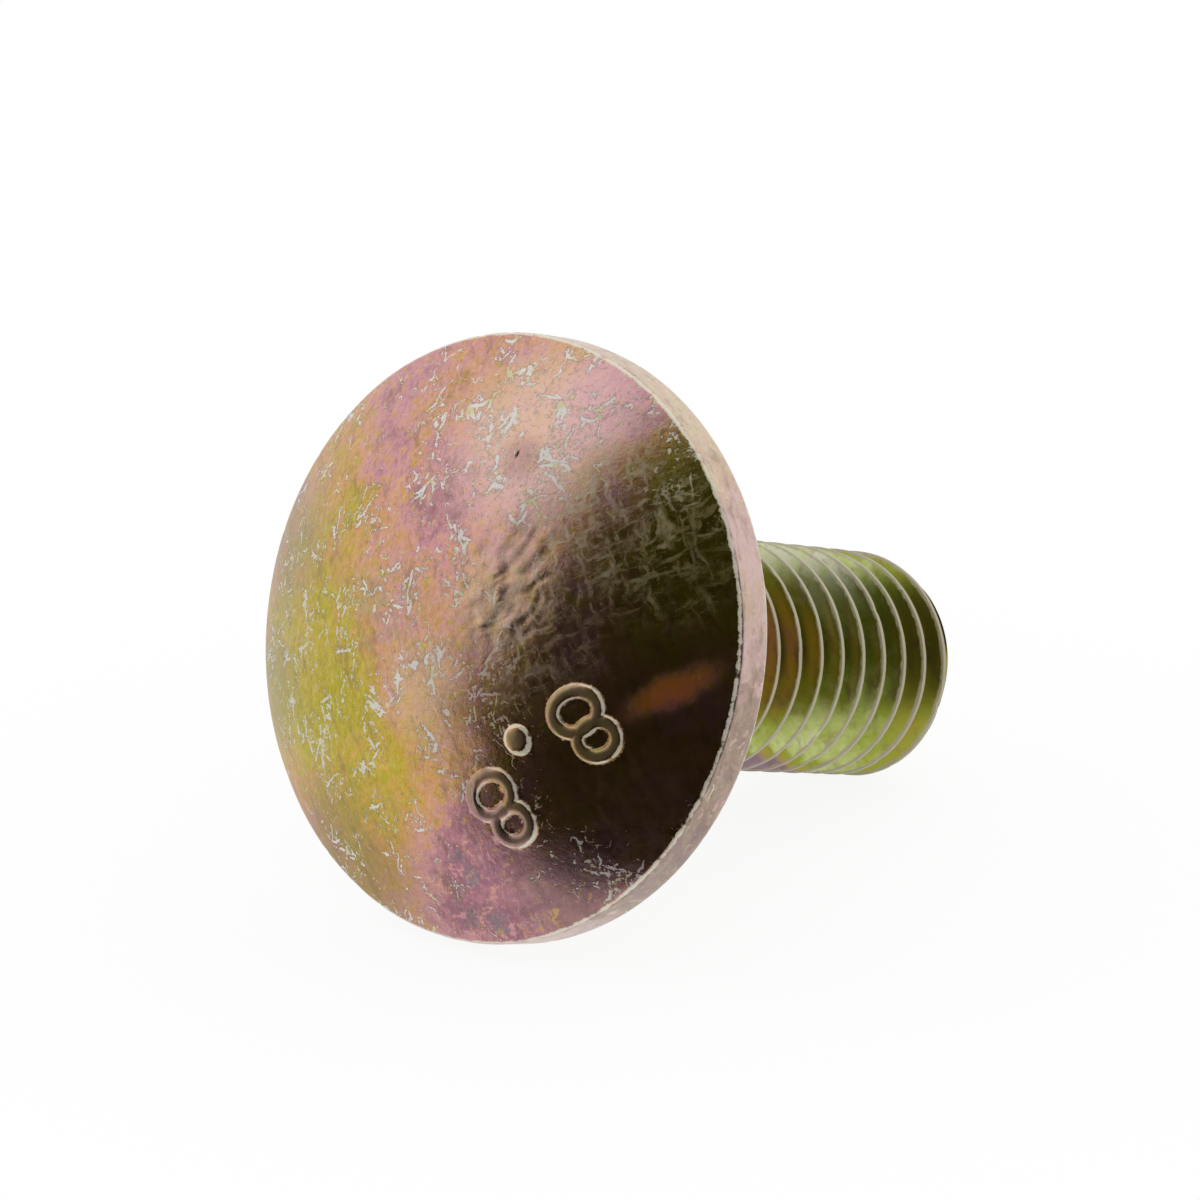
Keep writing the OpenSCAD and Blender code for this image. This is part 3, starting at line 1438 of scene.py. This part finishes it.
@dataclass(frozen=True)
class ThreadedShank:
    """The metric thread, with its run-out behind the neck and the chamfer at the tip.

    Attributes:
        diameter: The diameter over the crests.
        pitch: How far the thread climbs in a turn.
        bolt_l: The length of the bolt below the bearing face.
        neck_l: The length of the neck.
        runout: The length over which the thread comes up to its full height.
        tip_inset: How far the flat of the tip lies inside the root.
        turn_steps: The steps of one turn.
        spare_turns: The turns that the screw is wound on past each end before it is cut.
        lip: How far below the crest the thread's outline has a point of its own.
        sunk_in_neck: How far the shank reaches into the neck.
        crest_rubbed: How far the crests are rubbed down.
        nick_depth: The depth of a nick in a crest.
        nicks_per_mm: How close the nicks can be.
    """

    diameter: float = 8.0
    pitch: float = 1.25
    bolt_l: float = 20.0
    neck_l: float = SquareNeck.length
    runout: float = 1.6
    tip_inset: float = 0.03
    turn_steps: int = 108
    spare_turns: int = 3
    lip: float = 0.07
    sunk_in_neck: float = 1.2
    crest_rubbed: float = 0.012
    nick_depth: float = 0.07
    nicks_per_mm: float = 1.9

    @property
    def triangle_h(self) -> float:
        """The height of the thread's sharp sixty degree triangle."""
        return self.pitch * math.sqrt(3) / 2

    @property
    def crest_radius(self) -> float:
        """The radius over the crests."""
        return self.diameter / 2

    @property
    def pitch_radius(self) -> float:
        """The radius of the shank behind the thread."""
        return self.crest_radius - self.triangle_h * 3 / 8

    @property
    def flank_radius(self) -> float:
        """The radius at which the flanks turn into the rounded root."""
        return self.crest_radius - self.triangle_h * 5 / 8

    @property
    def tip_radius(self) -> float:
        """The radius of the flat of the tip."""
        return self.crest_radius - self.triangle_h * 17 / 24 - self.tip_inset

    @property
    def chamfer_z(self) -> float:
        """The height at which the chamfer of the tip starts."""
        return -(self.bolt_l - (self.crest_radius - self.tip_radius))

    def solid(self) -> bmesh.types.BMesh:
        """Winds the thread's outline up a screw, and trims and cuts it to the shank.

        On the side that the bolt lies on, a quarter of a turn before the outline, a crest starts
        where the tip's chamfer does.

        Returns:
            The closed shank, from inside the neck to the tip.
        """
        quarter_climb = self.pitch / 4
        start = self.chamfer_z + quarter_climb - self.spare_turns * self.pitch
        crest = self.crest_radius
        flank = self.flank_radius
        root_round = self.pitch * math.sqrt(3) / 12
        lip = self.lip
        section = Section(crest, start)
        section.line(crest, start + self.pitch / 8, 2)
        section.line(crest - lip, start + self.pitch / 8 + lip / math.sqrt(3))
        section.line(flank, start + self.pitch * 7 / 16, 4)
        middle = start + self.pitch * 9 / 16
        section.arc(flank + root_round / 2, middle, 120, 6)
        section.line(crest - lip, start + self.pitch - lip / math.sqrt(3), 4)
        section.line(crest, start + self.pitch)
        turns = math.ceil((self.bolt_l - self.neck_l) / self.pitch) + 2 * self.spare_turns - 1
        mesh = section.screw(turns, self.turn_steps, self.pitch)
        for vert in mesh.verts:
            self.trim(vert)
        cut_off(mesh, Vector((0, 0, -self.bolt_l)), Vector((0, 0, -1)))
        cut_off(mesh, Vector((0, 0, -self.neck_l + self.sunk_in_neck)), Vector((0, 0, 1)))
        return tidy(mesh)

    def limit(self, depth: float) -> float:
        """The largest radius at a depth: the run-out, the crests and the chamfer.

        Args:
            depth: The depth below the bearing face.

        Returns:
            The radius.
        """
        rise = self.crest_radius - self.tip_radius
        runout_share = (depth - self.neck_l) / (2 * self.runout)
        runout_limit = self.tip_radius + max(0.0, runout_share) * 2 * rise
        return min(runout_limit, max(self.tip_radius, self.tip_radius + self.bolt_l - depth))

    def core(self, depth: float) -> float:
        """The smallest radius at a depth: the plain stretch behind the neck, as it narrows.

        Args:
            depth: The depth below the bearing face.

        Returns:
            The radius, or 0 where the plain stretch has ended.
        """
        start = self.neck_l + self.runout / 3
        end = self.neck_l + self.runout
        if depth > end:
            return 0.0
        share = max(0.0, (depth - start) / (end - start))
        return self.pitch_radius + share * (self.tip_radius - self.pitch_radius)

    def trim(self, vert: bmesh.types.BMVert) -> None:
        """Brings a point of the endless screw to the run-out, the chamfer and the worn crest.

        Args:
            vert: The point. It is moved towards the axis or away from it.
        """
        x, y, z = vert.co
        away = math.hypot(x, y)
        aim = max(min(away, self.limit(-z)), self.core(-z))
        if away > self.crest_radius - 0.02:
            nick = smooth_step(0.42, 0.8, ripple(x, y, self.nicks_per_mm, z * 2.3))
            aim -= self.crest_rubbed + 0.01 * ripple(x, y, 1.0, z * 3) + self.nick_depth * nick
        vert.co.x *= aim / away
        vert.co.y *= aim / away

    def worn(self, place: Vector) -> float:
        """How far the film is rubbed off: the crests, more so towards the tip, and the tip's edge.

        Args:
            place: The place on the shank.

        Returns:
            The wear, from 0 to 1.
        """
        away = math.hypot(place.x, place.y)
        reach = 0.01 - 0.01 * place.z
        crest = 0.85 * smooth_step(self.crest_radius - reach, self.crest_radius - 0.03, away)
        tip = smooth_step(0.25, 0.02, place.z + self.bolt_l) * smooth_step(0.3, 0.05, self.tip_radius - away)
        return max(crest, 0.6 * tip)


class Zone(Enum):
    """The parts of the surface that have a finish of their own, by the number of their slot."""

    DOME = 0
    BAND = 1
    UNDERSIDE = 2
    NECK = 3
    THREAD = 4


# The tints of the film from thin to thick, on the dome, on the band and on the shank
ALONG_DOME = (
    (0.0, Film.OLIVE_YELLOW),
    (0.16, Film.YELLOW),
    (0.3, Film.GOLD),
    (0.44, Film.ORANGE),
    (0.56, Film.SALMON),
    (0.68, Film.PINK),
    (0.9, Film.MAUVE),
    (1.0, Film.GREY_VIOLET),
)
ALONG_BAND = (
    (0.0, Film.LEAF),
    (0.2, Film.CREAM),
    (0.4, Film.PALE_SALMON),
    (0.55, Film.PALE_PINK),
    (0.68, Film.DUSTY_PINK),
    (0.82, Film.BEIGE),
    (1.0, Film.GREY_VIOLET),
)
ALONG_SHANK = (
    (0.0, Film.GREY_VIOLET),
    (0.14, Film.BROWN),
    (0.32, Film.OLIVE),
    (0.56, Film.MOSS),
    (0.76, Film.LEAF),
    (0.92, Film.PALE_LEAF),
)
# Where the film on the dome is thicker, or thinner where the change is below zero
DOME_PATCHES = (
    Patch(-6.2, -2.0, 6.0, -0.42),
    Patch(-3.0, -4.6, 3.6, -0.3),
    Patch(-7.3, 3.9, 3.6, -0.2),
    Patch(-4.8, 2.9, 1.7, -0.2),
    Patch(-4.1, 4.9, 1.6, 0.14),
    Patch(-5.4, 7.6, 2.6, 0.1),
    Patch(-1.2, 4.2, 2.8, 0.18),
    Patch(0.6, 7.6, 2.2, -0.1),
    Patch(2.4, 5.0, 2.2, 0.12),
    Patch(3.2, 8.2, 2.2, 0.24),
    Patch(2.3, 1.6, 1.8, -0.1),
    Patch(0.0, -1.5, 2.0, -0.06),
    Patch(-0.2, -4.6, 2.6, -0.2),
    Patch(2.6, -7.6, 3.8, 0.32),
    Patch(6.6, -6.6, 2.8, 0.2),
    Patch(8.2, 3.6, 4.2, -0.5),
    Patch(6.6, 7.0, 2.6, -0.45),
    Patch(-3.3, -6.9, 3.0, -0.22),
    Patch(6.0, -3.0, 4.2, -0.14),
)
# The same on the band, rolled round the axis
BAND_PATCHES = (
    Patch(10.5, 0.7, 5.0, -0.2),
    Patch(5.4, 0.7, 2.4, 0.1),
    Patch(-4.6, 0.7, 8.5, 0.36),
)
# Where the dome has fewer scratches, or more where the change is below zero
DOME_SPARED = (
    Patch(6.6, -2.6, 3.8, 1.8),
    Patch(8.8, 1.6, 3.0, 1.8),
    Patch(3.0, -7.6, 3.4, 0.9),
    Patch(3.2, -5.0, 1.6, 1.6),
    Patch(-4.6, 5.0, 2.6, 0.5),
    Patch(-4.2, -2.6, 4.8, -0.4),
    Patch(0.5, 7.0, 4.2, -0.8),
    Patch(0.0, 2.0, 3.6, -0.4),
    Patch(-0.5, -2.6, 3.2, -0.5),
)
# Where its scratches are fainter
DOME_FAINT = (
    Patch(7.4, 0.0, 8.0, 0.88),
    Patch(6.0, 3.8, 4.2, 0.4),
    Patch(-5.5, -3.5, 5.5, 0.3),
)
# The tinted fields on the dome: clouds in the film, rubbed streaks, the rust-brown stain, a painted
# highlight and a painted shade
RUBBED = srgb(200, 186, 164)
RUST_ORANGE = srgb(208, 110, 20)
DOME_STAINS_AND_PAINTED_LIGHT = (
    # Painted highlight: these two pale pink fields lighten the dome where it catches bright light next to
    # the dark room
    Stain(1.4, 6.7, 4.3, 0.65, srgb(230, 196, 184), dull=0.0, streaked=False),
    Stain(3.3, 8.0, 2.2, 0.55, srgb(222, 176, 182), dull=0.0, streaked=False),
    Stain(1.3, 5.9, 1.1, 0.55, srgb(166, 122, 126), dull=0.0, streaked=False),
    Stain(-9.2, 1.4, 3.6, 0.5, srgb(152, 140, 110), dull=0.4, streaked=False),
    Stain(-8.8, -3.4, 3.2, 0.45, srgb(138, 128, 92), dull=0.3, streaked=False),
    Stain(-3.9, -8.3, 3.8, 0.6, srgb(132, 112, 66), dull=0.2, streaked=False, stretch=1.4),
    Stain(-1.9, -5.6, 3.0, 0.7, srgb(214, 158, 84), dull=0.0, stretch=1.3),
    Stain(4.9, 4.6, 4.6, 1.0, RUBBED),
    Stain(7.6, 4.2, 3.0, 0.9, srgb(178, 166, 124)),
    Stain(3.9, 0.2, 2.9, 0.85, RUBBED),
    Stain(7.6, -4.6, 3.0, 0.3, RUBBED, dull=0.6),
    # Painted shade: this dark grey field darkens the lower right of the dome, where it mirrors the bolt's
    # shadow on the sheet
    Stain(5.2, -7.0, 2.8, 0.6, srgb(112, 94, 90), dull=0.0, streaked=False),
    Stain(8.1, -0.1, 0.66, 0.75, RUST_ORANGE, dull=1.4, streaked=False, degrees=40, stretch=3.2),
    Stain(-3.4, 0.7, 1.2, 0.7, srgb(182, 178, 156)),
    Stain(-1.9, 0.4, 2.4, 0.6, srgb(158, 142, 124)),
    Stain(2.2, 1.5, 2.3, 0.8, srgb(204, 184, 162)),
    Stain(0.1, -1.9, 2.4, 0.4, srgb(216, 192, 144), dull=0.0, streaked=False),
    Stain(2.1, 1.6, 2.6, 0.3, srgb(212, 186, 168), dull=0.0, streaked=False),
)
# Scratches from long to short: the size of a cell, length, width, share, direction and spread
DOME_SCRATCHES = (
    ScratchRun(2.4, 2.8, 0.08, 0.95, 82, 110),
    ScratchRun(1.7, 1.9, 0.09, 0.95),
    ScratchRun(1.1, 1.1, 0.095, 0.9),
    ScratchRun(0.75, 0.5, 0.1, 0.75),
    ScratchRun(0.45, 0.22, 0.11, 0.65),
)
# The few short scratches on the band, the underside and the neck
RIM_SCRATCHES = (
    ScratchRun(1.6, 0.9, 0.07, 0.3),
    ScratchRun(0.8, 0.35, 0.08, 0.35),
)
# Where the film on the shank is thicker or thinner, rolled round the axis, with a painted highlight along
# its top and painted shade along its underside
SHANK_FILM_AND_PAINTED_LIGHT = (
    Patch(0.5, -8.6, 3.8, -0.22),
    Patch(0.5, -15.0, 2.6, 0.12),
    Patch(-4.6, -12.0, 7.0, 0.3),
    Patch(-6.2, -17.0, 4.0, 0.24),
    # Painted highlight: thicker, paler leaf-green film along the shank's top, which faces the light from
    # above
    Patch(5.8, -13.0, 5.4, 0.45),
    # Painted shade: these three turn the underside, the side that the bolt lies on, grey-violet
    Patch(-5.4, -8.6, 2.5, -1.1),
    Patch(-5.4, -11.4, 2.6, -1.3),
    Patch(-5.6, -14.2, 2.2, -1.2),
)


@dataclass
class CarriageBolt:
    """The whole bolt, one piece of steel, with its finishes.

    Attributes:
        head: The head.
        neck: The neck under it.
        shank: The shank with its thread.
        head_ends: The height above which a place counts as the head's.
        smooth_up_to: The largest angle between two faces that are shaded as one, in degrees.
    """

    head: Head = field(default_factory=Head)
    neck: SquareNeck = field(default_factory=SquareNeck)
    shank: ThreadedShank = field(default_factory=ThreadedShank)
    head_ends: float = -0.05
    smooth_up_to: float = 32.0

    def zone(self, place: Vector, facing: Vector) -> Zone:
        """Which finish a face takes.

        Args:
            place: The middle of the face.
            facing: The direction that it faces.

        Returns:
            The zone that it is in.
        """
        away = math.hypot(place.x, place.y)
        if place.z > self.head.band_round_z and facing.z > 0.6:
            return Zone.DOME
        if place.z > -0.01 and away > self.head.radius - 0.8 and facing.z > -0.75:
            return Zone.BAND
        if place.z > self.head_ends:
            return Zone.UNDERSIDE
        return Zone.NECK if place.z > -self.neck.length else Zone.THREAD

    def worn(self, place: Vector) -> float:
        """How far the film is rubbed off at a place, with the painted highlight lines on the head.

        Args:
            place: The place on the bolt.

        Returns:
            The wear and the painted highlight, from 0 to 1.
        """
        if place.z > self.head_ends:
            return self.head.worn(place)
        if place.z > -self.neck.length:
            return self.neck.worn(place)
        return self.shank.worn(place)

    def finishes(self) -> list[YellowZinc]:
        """The finishes of the five zones.

        Returns:
            One finish for each zone, in the order of their slots.
        """
        return [
            YellowZinc(
                "yellow_zinc_dome", Wrap.SQUARE_ON, ALONG_DOME, film=0.56, swing=0.8,
                patches=DOME_PATCHES, spared=DOME_SPARED, faint=DOME_FAINT, stains=DOME_STAINS_AND_PAINTED_LIGHT,
                runs=DOME_SCRATCHES, specks=0.64, flecking=0.5, wear_and_highlight_silver=srgb(220, 215, 194),
            ),
            YellowZinc(
                "yellow_zinc_band", Wrap.ROLLED, ALONG_BAND, film=0.5, swing=0.65,
                patches=BAND_PATCHES, runs=RIM_SCRATCHES, radius=self.head.radius, specks=0.68,
                veins=0.0, roughness=0.3, mottling=0.25, wear_and_highlight_silver=srgb(226, 222, 206),
            ),
            YellowZinc(
                "yellow_zinc_underside", Wrap.SQUARE_ON, ALONG_DOME, film=0.45, swing=0.9,
                runs=RIM_SCRATCHES, specks=0.66, roughness=0.28,
            ),
            YellowZinc(
                "yellow_zinc_neck", Wrap.ROLLED, ALONG_DOME, film=0.4, swing=0.9,
                runs=RIM_SCRATCHES, radius=4.6, specks=0.66, roughness=0.28,
            ),
            YellowZinc(
                "yellow_zinc_thread", Wrap.ROLLED, ALONG_SHANK, film=0.45, swing=0.6,
                patches=SHANK_FILM_AND_PAINTED_LIGHT, radius=self.shank.crest_radius, specks=1.2, veins=0.0,
                roughness=0.27, grain=0.004, wear_and_highlight_noise=0.9, mottling=0.1, spotting=0.06,
                dullness=0.35, wear_and_highlight_silver=srgb(176, 166, 146),
            ),
        ]

    def build(self) -> bpy.types.Object:
        """Builds the bolt, dresses it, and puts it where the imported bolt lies.

        Returns:
            The finished object.
        """
        parts = []
        for name, source in (("head", self.head), ("neck", self.neck), ("shank", self.shank)):
            parts.append(as_object(name, source.solid()))
            log.info("%s: %d faces", name, len(parts[-1].data.polygons))
        bolt = united("carriage_bolt_finished", parts)
        for finish in self.finishes():
            bolt.data.materials.append(finish.build())
        self.dress(bolt.data)
        bolt.data.transform(PLACE)
        self.keep_inside(bolt.data)
        return bolt

    def keep_inside(self, mesh: bpy.types.Mesh) -> None:
        """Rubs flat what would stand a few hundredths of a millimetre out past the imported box.

        Args:
            mesh: The mesh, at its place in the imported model.
        """
        low, high = CAD_BOX
        for vert in mesh.vertices:
            for axis in range(3):
                vert.co[axis] = min(high[axis], max(low[axis], vert.co[axis]))

    def dress(self, mesh: bpy.types.Mesh) -> None:
        """Gives each face its finish and each point its wear and painted highlight, and shades the mesh
        smooth.

        Args:
            mesh: The mesh, still in the drawing's millimetres.
        """
        for face in mesh.polygons:
            face.material_index = self.zone(face.center, face.normal).value
        for name, share in (("worn", self.worn), ("rubbed", self.head.rubbed)):
            layer = mesh.attributes.new(name, "FLOAT", "POINT")
            for vert in mesh.vertices:
                layer.data[vert.index].value = share(vert.co)
        mesh.shade_smooth()
        mesh.set_sharp_from_angle(angle=math.radians(self.smooth_up_to))


def as_object(name: str, mesh: bmesh.types.BMesh) -> bpy.types.Object:
    """Puts a mesh into the scene.

    Args:
        name: The name of the object and of its mesh.
        mesh: The mesh, which is freed.

    Returns:
        The new object.
    """
    data = bpy.data.meshes.new(name)
    mesh.to_mesh(data)
    mesh.free()
    made = bpy.data.objects.new(name, data)
    bpy.context.scene.collection.objects.link(made)
    return made


def united(name: str, parts: list[bpy.types.Object]) -> bpy.types.Object:
    """Joins overlapping solids into one closed mesh.

    Args:
        name: The name of the joined object.
        parts: The solids. They are taken out of the scene.

    Returns:
        The joined object.
    """
    for other in parts[1:]:
        union = parts[0].modifiers.new(other.name, "BOOLEAN")
        union.operation = "UNION"
        union.solver = "MANIFOLD"
        union.object = other
    graph = bpy.context.evaluated_depsgraph_get()
    data = bpy.data.meshes.new_from_object(parts[0].evaluated_get(graph))
    for part in parts:
        bpy.data.objects.remove(part)
    mesh = bmesh.new()
    mesh.from_mesh(data)
    return as_object(name, tidy(mesh))


@dataclass(frozen=True)
class Studio:
    """The white sheet, the light and the camera.

    Polished metal mirrors a dark room in front of the sheet, which nothing else shows. Lengths
    are in millimetres and directions in degrees, to the right of the camera unless told.

    Attributes:
        picture: The picture's width in pixels.
        focal_pixels: The focal length in those pixels.
        film_width: The camera's sensor width.
        view_azimuth: The direction that the camera looks in, from +X towards +Y.
        view_drop: How far it looks down.
        aim: The point that it looks at.
        distance: How far it is from that point.
        sheet_half: Half the width of the sheet.
        shadow_middle: How far the shadow's middle is from the origin, along +X.
        white_in_shadow: How much of the sheet is plain white even there.
        shadow_inner: How far from its middle the shadow starts to fade.
        shadow_outer: How far from its middle it has faded.
        front_edge: How far in front of the origin a mirror sees the sheet end.
        front_edge_side: The direction that this edge faces.
        left_edge: How far from the origin the left border of that end is.
        left_edge_side: The direction that this border faces.
        far_edge: How far in front of the origin the left border no longer matters.
        edge_soft: Half the width of these soft edges.
        opening_left: The left side of the opening on the dark room.
        opening_right: The right side of the opening.
        opening_lean: How far its left side leans, as a share of the height.
        opening_soft: How soft its sides are, as the sine of an angle.
        dark_room: The colour of the dark room.
        white: The white of the light and of the sheet in the picture.
        paper: The colour of the sheet where light falls on it.
    """

    picture: float = 1200.0
    focal_pixels: float = 4550.0
    film_width: float = 36.0
    view_azimuth: float = 39.669
    view_drop: float = 17.681
    aim: tuple[float, float, float] = (1.914, -1.701, 1.215)
    distance: float = 147.154
    sheet_half: float = 110.0
    shadow_middle: float = 8.0
    white_in_shadow: float = 0.9
    shadow_inner: float = 14.0
    shadow_outer: float = 40.0
    front_edge: float = 10.6
    front_edge_side: float = -8.0
    left_edge: float = 0.2
    left_edge_side: float = 32.0
    far_edge: float = 25.0
    edge_soft: float = 1.7
    opening_left: float = -69.0
    opening_right: float = 85.0
    opening_lean: float = -0.16
    opening_soft: float = 0.16
    dark_room: Colour = srgb(28, 25, 21)
    white: Colour = srgb(255, 255, 255)
    paper: Colour = srgb(246, 246, 246)

    def camera(self) -> None:
        """Puts the camera at the photograph's place."""
        data = bpy.data.cameras.new("camera")
        data.sensor_width = self.film_width
        data.lens = self.focal_pixels / self.picture * self.film_width
        data.clip_start = 0.005
        data.clip_end = 10.0
        azimuth = math.radians(self.view_azimuth)
        drop = math.radians(self.view_drop)
        flat = math.cos(drop)
        forward = Vector((flat * math.cos(azimuth), flat * math.sin(azimuth), -math.sin(drop)))
        camera = bpy.data.objects.new("camera", data)
        camera.location = (Vector(self.aim) - forward * self.distance) * MM
        camera.rotation_mode = "QUATERNION"
        camera.rotation_quaternion = forward.to_track_quat("-Z", "Y")
        bpy.context.scene.collection.objects.link(camera)
        bpy.context.scene.camera = camera

    def sheet(self) -> bpy.types.Object:
        """Lays the white sheet under the bolt.

        Returns:
            The sheet.
        """
        mesh = bmesh.new()
        bmesh.ops.create_grid(mesh, x_segments=2, y_segments=2, size=self.sheet_half * MM)
        bmesh.ops.translate(mesh, verts=mesh.verts, vec=(0, 0, CAD_BOX[0].z))
        sheet = as_object("sheet", mesh)
        sheet.data.materials.append(self.sheet_material())
        return sheet

    def sheet_material(self) -> bpy.types.Material:
        """White paper: it shows white, and keeps part of the bolt's shadow close to it.

        Where metal mirrors it, the paper ends just before the head, and the dark room starts.

        Returns:
            The finished material.
        """
        material = bpy.data.materials.new("white_sheet")
        graph = Graph(material)
        where = graph.node("ShaderNodeTexCoord")["Object"]
        middle = (self.shadow_middle * MM, 0.0, CAD_BOX[0].z)
        away = graph.vector("DISTANCE", where, middle)["Value"]
        far = graph.step(away, self.shadow_inner * MM, self.shadow_outer * MM)
        path = graph.node("ShaderNodeLightPath")
        seen = path["Is Camera Ray"] + path["Is Glossy Ray"] + path["Is Transmission Ray"]
        inputs = {"Base Color": self.paper, "Roughness": 0.8, "Specular IOR Level": 0.0}
        paper = graph.node("ShaderNodeBsdfPrincipled", None, inputs)["BSDF"]
        front = self.past_line(graph, where, self.front_edge_side, self.front_edge)
        left = self.past_line(graph, where, self.left_edge_side, self.left_edge)
        far_front = self.past_line(graph, where, 0.0, self.far_edge)
        past_edge = path["Is Glossy Ray"] * front * left.most(far_front)
        shown = graph.mix(past_edge, self.white, self.dark_room)
        white = graph.node("ShaderNodeEmission", None, {"Color": shown, "Strength": 1.0})["Emission"]
        plain = self.white_in_shadow + far * (1 - self.white_in_shadow)
        factor = (seen * plain).most(past_edge)
        both = graph.node("ShaderNodeMixShader", None, {0: factor, 1: paper, 2: white})["Shader"]
        graph.node("ShaderNodeOutputMaterial", None, {"Surface": both})
        return material

    def past_line(self, graph: Graph, where: Socket, degrees: float, edge: float) -> Socket:
        """Whether the sheet is past a line.

        Args:
            graph: The sheet's graph.
            where: The place on the sheet, in metres.
            degrees: How far to the right of the camera the line faces.
            edge: How far the line is from the origin, in millimetres.

        Returns:
            0 before the line and 1 past it, with a soft edge.
        """
        side = math.radians(self.view_azimuth + 180 + degrees)
        outward = (math.cos(side), math.sin(side), 0.0)
        reach = graph.vector("DOT_PRODUCT", where, outward)["Value"]
        return graph.step(reach, (edge - self.edge_soft) * MM, (edge + self.edge_soft) * MM)

    def world(self) -> None:
        """Plain white light all round. Metal also mirrors the dark room through an opening."""
        world = bpy.data.worlds.new("studio")
        bpy.context.scene.world = world
        graph = Graph(world)
        direction = graph.node("ShaderNodeTexCoord")["Generated"]
        side = math.radians(self.view_azimuth + 180)
        past_left = side + math.radians(self.opening_left + 90)
        past_right = side + math.radians(self.opening_right - 90)
        opening: Value = 1.0
        for angle, lean in ((past_left, self.opening_lean), (past_right, 0.0)):
            edge = (math.cos(angle), math.sin(angle), lean)
            depth = graph.vector("DOT_PRODUCT", direction, edge)["Value"]
            opening = graph.step(depth, -self.opening_soft, self.opening_soft) * opening
        room = graph.mix(opening, self.white, self.dark_room)
        path = graph.node("ShaderNodeLightPath")
        mirrored = path["Is Glossy Ray"] + path["Is Transmission Ray"]
        colour = graph.mix(mirrored, self.white, room)
        light = graph.node("ShaderNodeBackground", None, {"Color": colour, "Strength": 1.0})
        graph.node("ShaderNodeOutputWorld", None, {"Surface": light["Background"]})

    def build(self) -> None:
        """Sets up the camera, the sheet and the light."""
        bpy.context.scene.view_settings.view_transform = "Standard"
        self.camera()
        self.sheet()
        self.world()


def main() -> None:
    """Builds the studio and the bolt."""
    logging.basicConfig(level=logging.INFO, format="%(name)s: %(message)s")
    Studio().build()
    bolt = CarriageBolt().build()
    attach(bolt, "root")
    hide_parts(NODE)
    triangles = sum(len(face.vertices) - 2 for face in bolt.data.polygons)
    log.info("%s: %d triangles", bolt.name, triangles)


if __name__ == "__main__":
    main()
